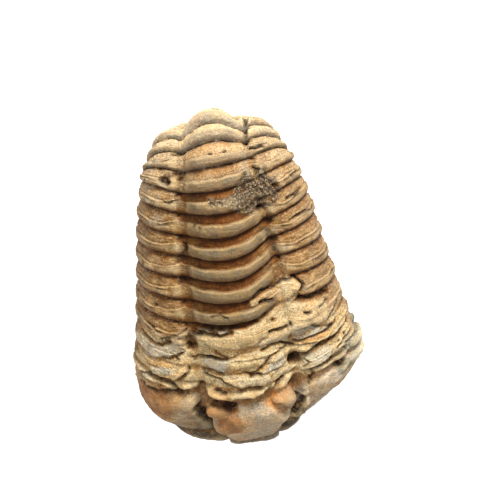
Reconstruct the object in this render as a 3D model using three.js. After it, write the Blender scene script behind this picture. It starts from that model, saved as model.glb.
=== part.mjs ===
// A partly rolled-up trilobite fossil, one stone with the matrix that fills its belly side.
// Millimetres. +Z up, tail toward +Y, head toward -Y, the worn patch it rests on at z = 0.
//
// The back is a sheet over two readings: "place" runs 0..118 mm along the crest of the back from
// the tail tip to the front of the head, and "across" runs -1..1 from the left to the right edge,
// with the two axial furrows at +-FURROW_ACROSS. "Station" counts body parts along the back:
// -1..0 the tail shield, 0..13 the thirteen thoracic segments, 13..14 the head shield.
import * as THREE from "three";

// ---- driving dimensions: the back ----
const BACK_LENGTH = 118;
const BACK_STEP = 0.25;
const SEGMENTS = 13;
const FURROW_ACROSS = 0.42;

// Tilt of the back along the crest, [place, degrees]: below zero leans to the tail.
const BACK_TILT = [
  [0, -150], [7, -112], [14, -84.5], [22, -53.5], [30, -18], [38, -5], [46, 1], [56, 2.7],
  [66, 6.5], [78, 12.5], [90, 26.5], [96, 33.5], [104, 54], [112, 80], [118, 97],
];
// Widths and heights along the back, [place, mm].
const AXIS_HALF_WIDTH = [
  [0, 1.5], [7, 4.8], [14, 6.4], [30, 7.9], [50, 10.1], [70, 11.5], [92, 11.4], [98, 10.8],
  [104, 8.8], [112, 6.6], [118, 5],
];
const BODY_HALF_WIDTH = [
  [0, 9], [7, 12.8], [14, 14.8], [30, 18], [50, 21.6], [70, 24.6], [92, 27.2], [104, 23.8],
  [112, 19.6], [118, 15],
];
const AXIS_RISE = [
  [0, 0.5], [7, 2], [14, 3], [30, 4.3], [50, 5.3], [70, 5], [92, 4.5], [104, 4.3],
  [109, 2.8], [113, 0.9], [118, 0.4],
];
const FLANK_DROP = [
  [0, 3], [7, 5], [14, 5.4], [30, 8.7], [50, 13.8], [70, 15.1], [92, 11.9], [104, 10.5],
  [112, 8.7], [118, 6],
];
const FLANK_TURN_DEG = 92;
const AXIS_ROUNDNESS = 1.5;
const GLABELLA_ROUNDNESS = 3;
const END_ROUNDING = 5;
// The head sits a little to the left of the thorax, with a fuller left cheek and a right cheek
// that draws in toward the front; the share it loses is given as [place, share].
const HEAD_SIDE_SHIFT = -1.2;
const HEAD_LEFT_WIDENING = 0.03;
const HEAD_RIGHT_NARROWING = [[92, 0], [98, 0.03], [104, 0.1], [110, 0.26], [118, 0.4]];

// Place of every furrow at the crest, and how far it shifts forward of that at the left and
// right axial furrows and at the left and right edges, mm, from the tail end of the thorax on.
const FURROW_PLACE = [
  12.8, 20, 26.3, 32.8, 38.6, 44.2, 49.9, 55.2, 60.3, 65.7, 70.9, 77, 82.3, 87.2,
];
const SHIFT_LEFT_FURROW = [
  0.2, 0.2, -0.1, -0.1, -0.3, -0.7, -1, -1.4, -1.3, -1, -0.2, -0.3, 0.4, 0.3,
];
const SHIFT_RIGHT_FURROW = [
  -0.2, -0.4, -0.9, -1.3, -1.5, -1.7, -2.1, -3, -3.5, -3.5, -2.6, 1, 0.9, 1,
];
const SHIFT_LEFT_EDGE = [
  -5.4, -5.6, -5.8, -6.1, -6.3, -6, -5.5, -5.1, -5, -5.1, -5.1, -5.9, -5, -4.2,
];
const SHIFT_RIGHT_EDGE = [
  -6.2, -6.4, -6.6, -6.3, -6, -5.8, -5.9, -5.4, -4.6, -3.8, -3.2, -2.6, -2.9, -3.1,
];

// ---- driving dimensions: relief, mm ----
const RING_RELIEF_AXIS = 1.4;
const RING_RELIEF_FURROW = 0.55;
const RING_RELIEF_FLANK = 0.8;
const AXIAL_FURROW_DEPTH = 1.1;
const TAIL_FURROW_DEPTH = 0.3;
const AXIAL_FURROW_SPREAD = 0.045;
const HEAD_FURROW_DEPTH = 2.6;
const TAIL_RINGS = 6;
const TAIL_RELIEF = 0.4;
const OCCIPITAL_LENGTH = 3;
const OCCIPITAL_RISE = 0.6;
const OCCIPITAL_FURROW_DEPTH = 1.8;
const GLABELLA_RISE = 0.7;
const CHEEK_RISE = 0.9;
const FRONT_BORDER_PLACE = 113.5;
const FRONT_BORDER_RISE = 0.9;
const FRONT_FURROW_PLACE = 110;
const FRONT_FURROW_DEPTH = 0.9;
const MATRIX_SHEET_LEVEL = 0.45;
const MATRIX_SHEET_FILL = 0.9;
const LEDGE_SOFTNESS = 0.4;

// Each segment is a half ring that climbs out of the furrow and a ring behind a sharp hind edge.
// Edge as a part of the segment, and the half ring's climb, per segment on the axis.
const AXIS_EDGE = [0.5, 0.55, 0.58, 0.46, 0.37, 0.36, 0.34, 0.36, 0.33, 0.35, 0.4, 0.4, 0.4];
const AXIS_CLIMB = [0.85, 0.85, 0.85, 0.7, 0.45, 0.35, 0.3, 0.3, 0.3, 0.35, 0.5, 0.5, 0.5];
// The same on the flanks, the edge as [across, part of the segment].
const FLANK_CLIMB = 0.8;
const LEFT_EDGE = [[0.42, 0.22], [0.47, 0.3], [0.58, 0.54], [0.7, 0.56], [0.82, 0.5], [1, 0.42]];
const RIGHT_EDGE = [[0.42, 0.28], [0.47, 0.42], [0.58, 0.56], [0.7, 0.52], [0.82, 0.48], [1, 0.42]];
const RING_RISE = 1.4;
const RING_BULGE = 0.14;

// Borders of the clinging matrix: [station, across].
const SHEET_LEFT = [
  [8.9, 0.25], [9.05, 0.1], [9.3, 0.12], [9.45, 0.33], [9.9, 0.36], [10.1, 0.1], [10.3, -0.42],
];
const SHEET_RIGHT = [
  [8.9, 0.45], [9, 0.52], [9.5, 0.57], [9.75, 0.5], [10.05, 0.5], [10.3, 0.7], [11, 0.72],
];
const TORN_LEVEL = 0.1;
const TORN_LEVELLING = 0.65;

// Separate lumps (above zero) and hollows (below zero): station, across, radius and height.
const SPOTS = [
  { name: "left hind glabella lobe", station: 13.21, across: -0.3, radius: 3.7, height: 2.1 },
  { name: "right hind glabella lobe", station: 13.17, across: 0.29, radius: 3.8, height: 2.1 },
  { name: "left second glabella lobe", station: 13.39, across: -0.28, radius: 3, height: 1.3 },
  { name: "right second glabella lobe", station: 13.37, across: 0.29, radius: 2.9, height: 1.2 },
  { name: "middle of the glabella", station: 13.36, across: 0.02, radius: 8, height: 0.9 },
  { name: "left inner lobe groove", station: 13.23, across: -0.15, radius: 2, height: -0.9 },
  { name: "right inner lobe groove", station: 13.2, across: 0.15, radius: 2, height: -0.9 },
  { name: "left groove between lobes", station: 13.31, across: -0.29, radius: 1.7, height: -0.7 },
  { name: "right groove between lobes", station: 13.28, across: 0.3, radius: 1.7, height: -0.7 },
  { name: "right eye", station: 13.12, across: 0.7, radius: 2.6, height: 1.4 },
  { name: "right cheek matrix lump", station: 13.12, across: 0.87, radius: 5.5, height: 1.6 },
  { name: "groove beside the right lump", station: 13.05, across: 0.77, radius: 2, height: -0.8 },
  { name: "left cheek bulge", station: 13.36, across: -0.66, radius: 8, height: 1.1 },
  { name: "left shoulder hollow", station: 3.5, across: -0.55, radius: 2.2, height: -1.2 },
  { name: "left furrow pit", station: 10.82, across: -0.44, radius: 1.9, height: -1.6 },
  { name: "left head corner pit", station: 13.05, across: -0.55, radius: 1.8, height: -1.3 },
  { name: "right gap pit", station: 12.05, across: 0.42, radius: 2.4, height: -1.4 },
  { name: "gap above right glabella lobe", station: 13.04, across: 0.16, radius: 2, height: -1 },
  { name: "crystal patch", station: 4.3, across: 0.3, radius: 5.2, height: -0.7 },
  { name: "lower crystal patch", station: 5.1, across: 0.4, radius: 3.2, height: -0.5 },
];

// Torn ledges: the tail side of the line stands up by the height and slopes off over the reach.
const LEDGES = [
  { name: "left shelf over the head", from: [13.07, -0.44], to: [13.15, -0.1], height: 1.3, reach: 2.6 },
  { name: "right shelf over the head", from: [13.15, -0.1], to: [13.02, 0.2], height: 1.1, reach: 2.4 },
  { name: "left slab edge", from: [11.35, -0.48], to: [11.38, -0.13], height: 0.8, reach: 2.5 },
  { name: "middle flake edge", from: [12.3, -0.24], to: [13, -0.04], height: 0.7, reach: 2.2 },
  { name: "left head flange", from: [13.14, -0.95], to: [13.1, -0.52], height: 0.9, reach: 2.2 },
  { name: "right layered sheet", from: [13, 0.42], to: [13.02, 0.78], height: 0.8, reach: 2.4 },
  { name: "left tube edge", from: [13, -0.76], to: [12.15, -0.48], height: 1, reach: 1.8 },
  { name: "cream shelf edge", from: [11.05, -0.2], to: [10.55, 0.2], height: 0.6, reach: 2.2 },
  { name: "right flap edge", from: [11.2, 0.42], to: [11.4, 0.74], height: 0.6, reach: 2 },
  { name: "right rod edge", from: [12.35, 0.02], to: [11.65, 0.3], height: 0.7, reach: 1.8 },
  { name: "edge over the right gap", from: [12.4, 0.36], to: [12.2, 0.78], height: 1, reach: 2.2 },
];

// ---- driving dimensions: the belly ----
const BASE_LEVEL = -35.2;
const BELLY_BULGE = 1.4;
const BELLY_SQUARENESS = 3.2;
const BELLY_LUMP_HEIGHT = 1.4;

// ---- grid of the surface ----
const HALF_ACROSS = [
  0, 0.1, 0.2, 0.29, 0.35, 0.395, 0.42, 0.45, 0.5, 0.56, 0.63, 0.7, 0.77, 0.84, 0.9, 0.96, 1,
];
const BELLY_COLUMNS = 14;
// Rows of the tail in mm from its tip, of one segment from its furrow (0) over the ring's hind
// edge (1) to the next furrow (2), of the head in mm from its hind edge.
const TAIL_STOPS = [0, 0.4, 1.4, 2.8, 4.2, 5.6, 7, 8.4, 9.8, 11.2, 12.3];
const SEGMENT_STOPS = [0, 0.5, 0.98, 1.12, 1.48, 1.8];
const HEAD_STOPS = [
  0, 0.8, 1.8, 2.8, 3.4, 4.2, 5.4, 7, 9, 11, 13, 15.2, 17.4, 19.6, 21.6, 23.4, 25, 26.6, 28.4, 30,
];

const SHELL = { name: "trilobite", color: "#a38a5e", roughness: 0.88, metalness: 0 };

// ---- small helpers ----
const clamp = (value, low, high) => Math.min(high, Math.max(low, value));

function ease(low, high, value) {
  const part = clamp((value - low) / (high - low), 0, 1);
  return part * part * (3 - 2 * part);
}

function bell(value, middle, spread) {
  const away = (value - middle) / spread;
  return Math.exp(-away * away);
}

// Smooth curve through [place, value] pairs, each slope taken from the two neighbours.
function readCurve(pairs, at) {
  const last = pairs.length - 1;
  const place = clamp(at, pairs[0][0], pairs[last][0]);
  let i = 0;
  while (i < last - 1 && place > pairs[i + 1][0]) i += 1;
  const slope = (k) => {
    const before = pairs[Math.max(k - 1, 0)];
    const after = pairs[Math.min(k + 1, last)];
    return (after[1] - before[1]) / (after[0] - before[0]);
  };
  const span = pairs[i + 1][0] - pairs[i][0];
  const u = (place - pairs[i][0]) / span;
  const rise = pairs[i + 1][1] - pairs[i][1];
  const start = slope(i) * span;
  const end = slope(i + 1) * span;
  return pairs[i][1] + u * (start + u * (3 * rise - 2 * start - end + u * (start + end - 2 * rise)));
}

// Straight reading of a list that stands at stations 0..13, with given ends at -1 and 14.
function readStations(list, tailEnd, headEnd, station) {
  const full = [tailEnd, ...list, headEnd];
  const at = clamp(station + 1, 0, full.length - 1);
  const i = Math.min(Math.floor(at), full.length - 2);
  return full[i] + (full[i + 1] - full[i]) * (at - i);
}

// Crest of the back: the tilt is summed up into height and reach, highest point near z = 0.
function traceCrest() {
  const crest = [];
  let y = 0;
  let z = 0;
  for (let i = 0; i * BACK_STEP <= BACK_LENGTH; i += 1) {
    const tilt = THREE.MathUtils.degToRad(readCurve(BACK_TILT, i * BACK_STEP));
    if (i > 0) {
      const mean = (tilt + crest[i - 1].tilt) / 2;
      y -= Math.cos(mean) * BACK_STEP;
      z -= Math.sin(mean) * BACK_STEP;
    }
    crest.push({ y, z, tilt });
  }
  const top = Math.max(...crest.map((point) => point.z));
  crest.forEach((point) => {
    point.z -= top;
  });
  return crest;
}

const CREST = traceCrest();

function crestAt(place) {
  const at = clamp(place / BACK_STEP, 0, CREST.length - 1);
  const i = Math.min(Math.floor(at), CREST.length - 2);
  const mix = (key) => CREST[i][key] + (CREST[i + 1][key] - CREST[i][key]) * (at - i);
  return { y: mix("y"), z: mix("z"), tilt: mix("tilt") };
}

// Place along the back of a station, swept backward away from the crest.
function placeOf(station, across) {
  const crest = readStations(FURROW_PLACE, 0, BACK_LENGTH, station);
  const left = across < 0;
  const inner = readStations(left ? SHIFT_LEFT_FURROW : SHIFT_RIGHT_FURROW, 0, 0, station);
  const outer = readStations(left ? SHIFT_LEFT_EDGE : SHIFT_RIGHT_EDGE, 0, 0, station);
  const away = Math.abs(across);
  if (away <= FURROW_ACROSS) {
    return crest + inner * (away / FURROW_ACROSS) ** 2;
  }
  const flank = 1 - (away - FURROW_ACROSS) / (1 - FURROW_ACROSS);
  return crest + outer + (inner - outer) * flank ** 1.3;
}

// Both ends are rounded off: everything shrinks on a quarter circle over the last millimetres.
function endFactor(place) {
  const near = clamp(Math.min(place, BACK_LENGTH - place) / END_ROUNDING, 0, 1);
  return Math.sqrt(1 - (1 - near) ** 2);
}

// The smooth back without relief.
function smoothBack(station, across) {
  const place = clamp(placeOf(station, across), 0, BACK_LENGTH);
  const crest = crestAt(place);
  const close = endFactor(place);
  const axisHalf = readCurve(AXIS_HALF_WIDTH, place) * close;
  const inCheek = ease(92, 104, place);
  const narrowing = readCurve(HEAD_RIGHT_NARROWING, place);
  const widening = across < 0 ? HEAD_LEFT_WIDENING * inCheek : -narrowing;
  const bodyHalf = readCurve(BODY_HALF_WIDTH, place) * close * (1 + widening);
  const axisRise = readCurve(AXIS_RISE, place) * close;
  const flankDrop = readCurve(FLANK_DROP, place) * close;
  const away = Math.abs(across);
  let x;
  let drop;
  if (away <= FURROW_ACROSS) {
    const part = away / FURROW_ACROSS;
    const inHead = ease(SEGMENTS + 0.1, SEGMENTS + 0.4, station);
    const roundness = AXIS_ROUNDNESS + (GLABELLA_ROUNDNESS - AXIS_ROUNDNESS) * inHead;
    x = axisHalf * part;
    drop = (axisRise * (1 - Math.cos(Math.PI * part ** roundness))) / 2;
  } else {
    const turned = (away - FURROW_ACROSS) / (1 - FURROW_ACROSS);
    const turn = turned * THREE.MathUtils.degToRad(FLANK_TURN_DEG);
    x = axisHalf + (bodyHalf - axisHalf) * Math.sin(turn);
    drop = axisRise + flankDrop * (1 - Math.cos(turn));
  }
  return new THREE.Vector3(
    Math.sign(across) * x + HEAD_SIDE_SHIFT * inCheek,
    crest.y + drop * Math.sin(crest.tilt),
    crest.z - drop * Math.cos(crest.tilt),
  );
}

function backNormal(station, across) {
  const along = 0.02;
  const aside = 0.008;
  const before = smoothBack(Math.max(station - along, -1), across);
  const after = smoothBack(Math.min(station + along, SEGMENTS + 1), across);
  const left = smoothBack(station, Math.max(across - aside, -1));
  const right = smoothBack(station, Math.min(across + aside, 1));
  return right.sub(left).cross(before.sub(after)).normalize();
}

// ---- relief ----
// Straight reading of [place, value] pairs.
function readLine(pairs, at) {
  const last = pairs.length - 1;
  const place = clamp(at, pairs[0][0], pairs[last][0]);
  let i = 0;
  while (i < last - 1 && place > pairs[i + 1][0]) i += 1;
  const share = (place - pairs[i][0]) / (pairs[i + 1][0] - pairs[i][0]);
  return pairs[i][1] + (pairs[i + 1][1] - pairs[i][1]) * share;
}

function segmentShape(segment, across) {
  const away = Math.abs(across);
  const onFlank = ease(0.415, 0.455, away);
  const flankEdge = readLine(across < 0 ? LEFT_EDGE : RIGHT_EDGE, away);
  return {
    edge: AXIS_EDGE[segment] + (flankEdge - AXIS_EDGE[segment]) * onFlank,
    climb: AXIS_CLIMB[segment] + (FLANK_CLIMB - AXIS_CLIMB[segment]) * onFlank,
  };
}

// One segment from furrow to furrow: half ring rising out of the furrow, a sharp hind edge,
// then the nearly flat ring that falls steeply into the next furrow. From -1 to about +0.5.
function segmentProfile(part, shape) {
  const { edge, climb } = shape;
  if (part < edge) {
    return climb * (1 - (1 - part / edge) ** 2.2) - 1;
  }
  const on = (part - edge) / (1 - edge);
  const step = climb + (RING_RISE - climb) * ease(0, 0.1, on);
  return step + RING_BULGE * Math.sin(Math.PI * on) - RING_RISE * on ** 4 - 1;
}

function ringRelief(across) {
  const away = Math.abs(across);
  const axis = RING_RELIEF_AXIS + (RING_RELIEF_FURROW - RING_RELIEF_AXIS) * ease(0.2, 0.4, away);
  return axis + (RING_RELIEF_FLANK - RING_RELIEF_FURROW) * ease(0.44, 0.56, away);
}

// Share of the torn band, where the rings are broken down to an even level.
function tornBand(station, across) {
  const along = ease(10.5, 10.8, station) * (1 - ease(12.9, 13.2, station));
  return along * (1 - ease(0.72, 0.9, Math.abs(across)));
}

function thoraxRelief(station, across) {
  const segment = Math.min(Math.floor(station), SEGMENTS - 1);
  const profile = segmentProfile(station - segment, segmentShape(segment, across));
  const tip = ease(0.84, 0.99, Math.abs(across));
  const height = ringRelief(across) * (1 - 0.3 * tip) * profile;
  return height + (TORN_LEVEL - height) * TORN_LEVELLING * tornBand(station, across);
}

// Matrix that clings to the back and bridges the furrows of the ninth to eleventh segment.
function sheetCover(station, across) {
  const left = readLine(SHEET_LEFT, station);
  const right = readLine(SHEET_RIGHT, station);
  const along = ease(8.85, 9.1, station) * (1 - ease(10.75, 11, station));
  return along * ease(left, left + 0.08, across) * (1 - ease(right - 0.06, right + 0.02, across));
}

function tailRelief(station, across) {
  const place = (station + 1) * TAIL_RINGS;
  const wave = Math.cos(2 * Math.PI * (place - Math.floor(place)));
  const fade = ease(-1, -0.6, station) * (1 - 0.4 * ease(0.5, 0.95, Math.abs(across)));
  return -TAIL_RELIEF * wave * fade - 0.4;
}

function headRelief(station, across) {
  const away = Math.abs(across);
  const place = placeOf(station, across);
  const into = place - placeOf(SEGMENTS, across);
  const ring = OCCIPITAL_RISE * Math.sin(Math.PI * clamp(into / OCCIPITAL_LENGTH, 0, 1));
  const furrow = OCCIPITAL_FURROW_DEPTH * bell(into, OCCIPITAL_LENGTH + 0.9, 1.1);
  const start = -ringRelief(across) * bell(into, 0, 0.9);
  const inAxis = 1 - ease(0.36, 0.44, away);
  const dome = GLABELLA_RISE * inAxis * ease(4, 8, into);
  const cheek = CHEEK_RISE * bell(away, 0.68, 0.2) * ease(3, 9, into) * (1 - ease(106, 112, place));
  const border = FRONT_BORDER_RISE * bell(place, FRONT_BORDER_PLACE, 1.8);
  const gutter = FRONT_FURROW_DEPTH * bell(place, FRONT_FURROW_PLACE, 1.5);
  return ring - furrow + start + dome + cheek + border - gutter;
}

function axialFurrow(station, across) {
  const inTail = TAIL_FURROW_DEPTH - AXIAL_FURROW_DEPTH;
  const inHead = HEAD_FURROW_DEPTH - AXIAL_FURROW_DEPTH;
  const change = inTail * (1 - ease(1, 4, station)) + inHead * ease(12.9, 13.15, station);
  const depth = AXIAL_FURROW_DEPTH + change;
  const ends = ease(-0.9, -0.3, station) * (1 - ease(13.7, 13.9, station));
  return depth * ends * bell(Math.abs(across), FURROW_ACROSS, AXIAL_FURROW_SPREAD);
}

const SPOT_CENTRES = SPOTS.map((spot) => ({ ...spot, centre: smoothBack(spot.station, spot.across) }));

function spotRelief(point) {
  let sum = 0;
  for (const spot of SPOT_CENTRES) {
    const part = point.distanceTo(spot.centre) / spot.radius;
    if (part < 1) sum += spot.height * (1 - part * part) ** 2;
  }
  return sum;
}

function ledgeRelief(station, across) {
  let sum = 0;
  for (const ledge of LEDGES) {
    const share = (across - ledge.from[1]) / (ledge.to[1] - ledge.from[1]);
    if (share > -0.1 && share < 1.1) {
      const line = ledge.from[0] + (ledge.to[0] - ledge.from[0]) * share;
      const behind = placeOf(line, across) - placeOf(station, across);
      const ends = ease(-0.1, 0.05, share) * (1 - ease(0.95, 1.1, share));
      const slope = Math.exp(-Math.max(behind, 0) / ledge.reach);
      sum += ledge.height * ends * ease(-LEDGE_SOFTNESS, LEDGE_SOFTNESS, behind) * slope;
    }
  }
  return sum;
}

// Slow uneven swell made of a few crossing waves, about -1..1.
function swell(x, y, z) {
  const first = Math.sin(0.61 * x + 0.34 * y + 1.3) * Math.sin(0.47 * y - 0.52 * z + 0.4);
  const second = Math.sin(1.13 * x - 0.71 * z + 2.1) * Math.sin(0.97 * y + 0.83 * x - 0.6);
  return 0.65 * first + 0.35 * second;
}

function backPoint(station, across) {
  const point = smoothBack(station, across);
  let height;
  if (station < 0) {
    height = tailRelief(station, across);
  } else if (station <= SEGMENTS) {
    height = thoraxRelief(station, across);
    const cover = sheetCover(station, across);
    height += (MATRIX_SHEET_LEVEL - height) * 0.85 * cover;
    height += (MATRIX_SHEET_FILL + axialFurrow(station, across)) * cover * bell(across, 0.45, 0.09);
  } else {
    height = headRelief(station, across);
  }
  height -= axialFurrow(station, across);
  height += spotRelief(point) + ledgeRelief(station, across) + 0.18 * swell(point.x, point.y, point.z);
  const close = endFactor(placeOf(station, across));
  return point.addScaledVector(backNormal(station, across), height * close * close);
}

// Belly between the right and the left edge of one row; share 0..1 from right to left.
const TAIL_TIP = smoothBack(-1, 0);
const HEAD_TIP = smoothBack(SEGMENTS + 1, 0);

function bellyPoint(place, share, edges, smoothEdges) {
  const turn = Math.cos(Math.PI * share);
  const side = turn > 0 ? 0 : 1;
  const part = Math.abs(turn);
  const edge = smoothEdges[side].clone().lerp(edges[side], part ** 24);
  const along = place / BACK_LENGTH;
  const middleY = TAIL_TIP.y + (HEAD_TIP.y - TAIL_TIP.y) * along;
  const endLine = TAIL_TIP.z + (HEAD_TIP.z - TAIL_TIP.z) * along;
  const fill = 1 - (1 - clamp(4.2 * along * (1 - along), 0, 1)) ** 2;
  const middleZ = endLine + (BASE_LEVEL - BELLY_BULGE - endLine) * fill;
  const lump = BELLY_LUMP_HEIGHT * fill * (1 - part ** 6);
  const middleX = HEAD_TIP.x * ease(0.75, 1, along);
  const x = middleX + (edge.x - middleX) * part;
  const y = middleY + (edge.y - middleY) * part ** 1.6;
  const z = middleZ + (edge.z - middleZ) * part ** BELLY_SQUARENESS;
  return new THREE.Vector3(x, y, z + lump * swell(x * 1.2, y * 1.2, z));
}

// ---- grid ----
const ACROSS_STOPS = [...HALF_ACROSS.slice(1).reverse().map((value) => -value), ...HALF_ACROSS];

function listMarks() {
  const marks = [];
  for (const stop of TAIL_STOPS) marks.push(stop / FURROW_PLACE[0] - 1);
  for (let segment = 0; segment < SEGMENTS; segment += 1) {
    for (const stop of SEGMENT_STOPS) marks.push(segment + stop / 2);
  }
  const headLength = BACK_LENGTH - FURROW_PLACE[SEGMENTS];
  for (const stop of HEAD_STOPS) marks.push(SEGMENTS + stop / headLength);
  marks.push(SEGMENTS + 1);
  return marks;
}

// Rows of the thorax bend so that the middle of each segment's marks runs along the hind edge.
function stationOf(mark, across) {
  if (mark < 0 || mark >= SEGMENTS) return mark;
  const segment = Math.floor(mark);
  const stop = 2 * (mark - segment);
  const { edge } = segmentShape(segment, across);
  return segment + (stop < 1 ? stop * edge : edge + (stop - 1) * (1 - edge));
}

function buildSurface() {
  const marks = listMarks();
  const rows = marks.length - 1;
  const backColumns = ACROSS_STOPS.length - 1;
  const columns = backColumns + BELLY_COLUMNS;
  const geometry = new THREE.SphereGeometry(1, columns, rows);
  const position = geometry.getAttribute("position");
  for (let row = 0; row <= rows; row += 1) {
    const edgeStation = stationOf(marks[row], 1);
    const place = readStations(FURROW_PLACE, 0, BACK_LENGTH, edgeStation);
    const edges = [backPoint(edgeStation, 1), backPoint(edgeStation, -1)];
    const smoothEdges = [smoothBack(edgeStation, 1), smoothBack(edgeStation, -1)];
    for (let column = 0; column <= columns; column += 1) {
      const around = column % columns;
      const across = ACROSS_STOPS[around];
      const point = around <= backColumns
        ? backPoint(stationOf(marks[row], across), across)
        : bellyPoint(place, (around - backColumns) / BELLY_COLUMNS, edges, smoothEdges);
      point.z = Math.max(point.z - BASE_LEVEL, 0);
      position.setXYZ(row * (columns + 1) + column, point.x, point.y, point.z);
    }
  }
  geometry.computeBoundingBox();
  const middle = geometry.boundingBox.getCenter(new THREE.Vector3());
  geometry.translate(-middle.x, -middle.y, 0);
  geometry.computeVertexNormals();
  return geometry;
}

const shell = new THREE.Mesh(
  buildSurface(),
  new THREE.MeshStandardMaterial({
    color: SHELL.color,
    roughness: SHELL.roughness,
    metalness: SHELL.metalness,
  }),
);
shell.name = SHELL.name;

const fossil = new THREE.Group();
fossil.name = "trilobite_fossil";
fossil.add(shell);

export default fossil;
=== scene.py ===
import math

import bpy
import numpy as np
from mathutils import Matrix, Vector


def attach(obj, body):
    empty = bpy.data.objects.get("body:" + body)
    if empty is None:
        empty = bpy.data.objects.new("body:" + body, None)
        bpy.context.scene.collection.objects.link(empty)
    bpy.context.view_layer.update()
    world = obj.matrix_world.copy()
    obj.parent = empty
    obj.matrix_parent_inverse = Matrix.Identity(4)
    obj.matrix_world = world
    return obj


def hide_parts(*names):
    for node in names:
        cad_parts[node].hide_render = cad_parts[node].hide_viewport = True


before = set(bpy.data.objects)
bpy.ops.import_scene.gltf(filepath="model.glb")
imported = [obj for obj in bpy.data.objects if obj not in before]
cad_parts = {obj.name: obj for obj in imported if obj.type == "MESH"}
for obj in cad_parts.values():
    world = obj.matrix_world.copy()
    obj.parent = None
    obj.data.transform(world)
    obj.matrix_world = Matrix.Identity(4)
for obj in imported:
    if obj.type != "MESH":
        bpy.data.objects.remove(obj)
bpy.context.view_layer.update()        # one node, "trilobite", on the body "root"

# A partly rolled-up trilobite in its stone, as one fine closed surface.
# The formulas work in millimetres: +Z up, tail toward +Y, head toward -Y, floor at z = 0.
# "place" runs 0..118 along the crest of the back from the tail tip to the front of the head.
# "across" runs -1..1 from the left to the right edge, the axial furrows at +-FURROW_ACROSS.
# "station" counts parts of the body: -1..0 tail shield, 0..13 thorax segments, 13..14 head.
MM = 0.001

# ---- the smooth back, as in the solid ----
BACK_LENGTH = 118.0
BACK_STEP = 0.25
SEGMENTS = 13
FURROW_ACROSS = 0.42
BACK_TILT = [
    (0, -150), (7, -112), (14, -84.5), (22, -53.5), (30, -18), (38, -5), (46, 1), (56, 2.7),
    (66, 6.5), (78, 12.5), (90, 26.5), (96, 33.5), (104, 54), (112, 80), (118, 97),
]
AXIS_HALF_WIDTH = [
    (0, 1.5), (7, 4.8), (14, 6.4), (30, 7.9), (50, 10.1), (70, 11.5), (92, 11.4), (98, 10.8),
    (104, 8.8), (112, 6.6), (118, 5),
]
BODY_HALF_WIDTH = [
    (0, 9), (7, 12.8), (14, 14.8), (30, 18), (50, 21.6), (70, 24.6), (92, 27.2), (104, 23.8),
    (112, 19.6), (118, 15),
]
AXIS_RISE = [
    (0, 0.5), (7, 2), (14, 3), (30, 4.3), (50, 5.3), (70, 5), (92, 4.5), (104, 4.3),
    (109, 2.8), (113, 0.9), (118, 0.4),
]
FLANK_DROP = [
    (0, 3), (7, 5), (14, 5.4), (30, 8.7), (50, 13.8), (70, 15.1), (92, 11.9), (104, 10.5),
    (112, 8.7), (118, 6),
]
FLANK_TURN = math.radians(92)
AXIS_ROUNDNESS = 1.5
GLABELLA_ROUNDNESS = 3.0
END_ROUNDING = 5.0
HEAD_SIDE_SHIFT = -1.2
HEAD_LEFT_WIDENING = 0.03
HEAD_RIGHT_NARROWING = [(92, 0), (98, 0.03), (104, 0.1), (110, 0.26), (118, 0.4)]
FURROW_PLACE = [12.8, 20, 26.3, 32.8, 38.6, 44.2, 49.9, 55.2, 60.3, 65.7, 70.9, 77, 82.3, 87.2]
SHIFT_LEFT_FURROW = [0.2, 0.2, -0.1, -0.1, -0.3, -0.7, -1, -1.4, -1.3, -1, -0.2, -0.3, 0.4, 0.3]
SHIFT_RIGHT_FURROW = [
    -0.2, -0.4, -0.9, -1.3, -1.5, -1.7, -2.1, -3, -3.5, -3.5, -2.6, 1, 0.9, 1,
]
SHIFT_LEFT_EDGE = [
    -5.4, -5.6, -5.8, -6.1, -6.3, -6, -5.5, -5.1, -5, -5.1, -5.1, -5.9, -5, -4.2,
]
SHIFT_RIGHT_EDGE = [
    -6.2, -6.4, -6.6, -6.3, -6, -5.8, -5.9, -5.4, -4.6, -3.8, -3.2, -2.6, -2.9, -3.1,
]
BASE_LEVEL = -35.2
BELLY_BULGE = 1.4
BELLY_SQUARENESS = 3.2
BELLY_LUMP_HEIGHT = 1.4
BOX_MIDDLE = (0.376, -36.645)

# ---- grid of the fine surface ----
TAIL_ROWS = 34
# Rows of one segment from its furrow (0) over the ring's hind edge (1) to the next furrow (2).
SEGMENT_STOPS = [
    0, 0.16, 0.32, 0.46, 0.6, 0.72, 0.83, 0.92, 0.97, 1, 1.025, 1.05, 1.08, 1.13, 1.22, 1.34,
    1.48, 1.62, 1.75, 1.86, 1.94,
]
HEAD_ROWS = 92
CAP_ROWS = 13
BACK_COLUMNS = 196
FLANK_CLOSENESS = 1.6
BELLY_COLUMNS = 44
HEAD_START = 92
HEAD_FULL = 104
MAP_FIRST = 8
MAP_LAST = 112
STATION_STEP = 0.02
ACROSS_STEP = 0.008
FAR = 1e9
TINY = 1e-9

# ---- masks of the surface, four to a vertex attribute ----
MASK_GROUPS = {
    "bands": ("ring", "half_ring", "pale", "dark"),
    "kinds": ("matrix", "crystal", "head", "belly"),
    "tones": ("fresh", "deep", "slope", "flank"),
    "stains": ("grey", "rust", "rock", "shade_and_stain"),
    "weave": ("row", "side", "hollow", "rim"),
}
WEAVE_ROW = 5.5
WEAVE_SIDE = 7
BUMP_HEIGHT = 0.16


def ease(low, high, value):
    """Smooth step: 0 below low, 1 above high, 3p^2 - 2p^3 between."""
    part = np.clip((value - low) / (high - low), 0, 1)
    return part * part * (3 - 2 * part)


def bell(value, middle, spread):
    """exp(-((value - middle) / spread)^2)"""
    return np.exp(-((value - middle) / spread) ** 2)


def window(low, high, soft, value):
    """1 between low and high, easing to 0 over "soft" outside both."""
    return ease(low - soft, low, value) * (1 - ease(high, high + soft, value))


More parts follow.
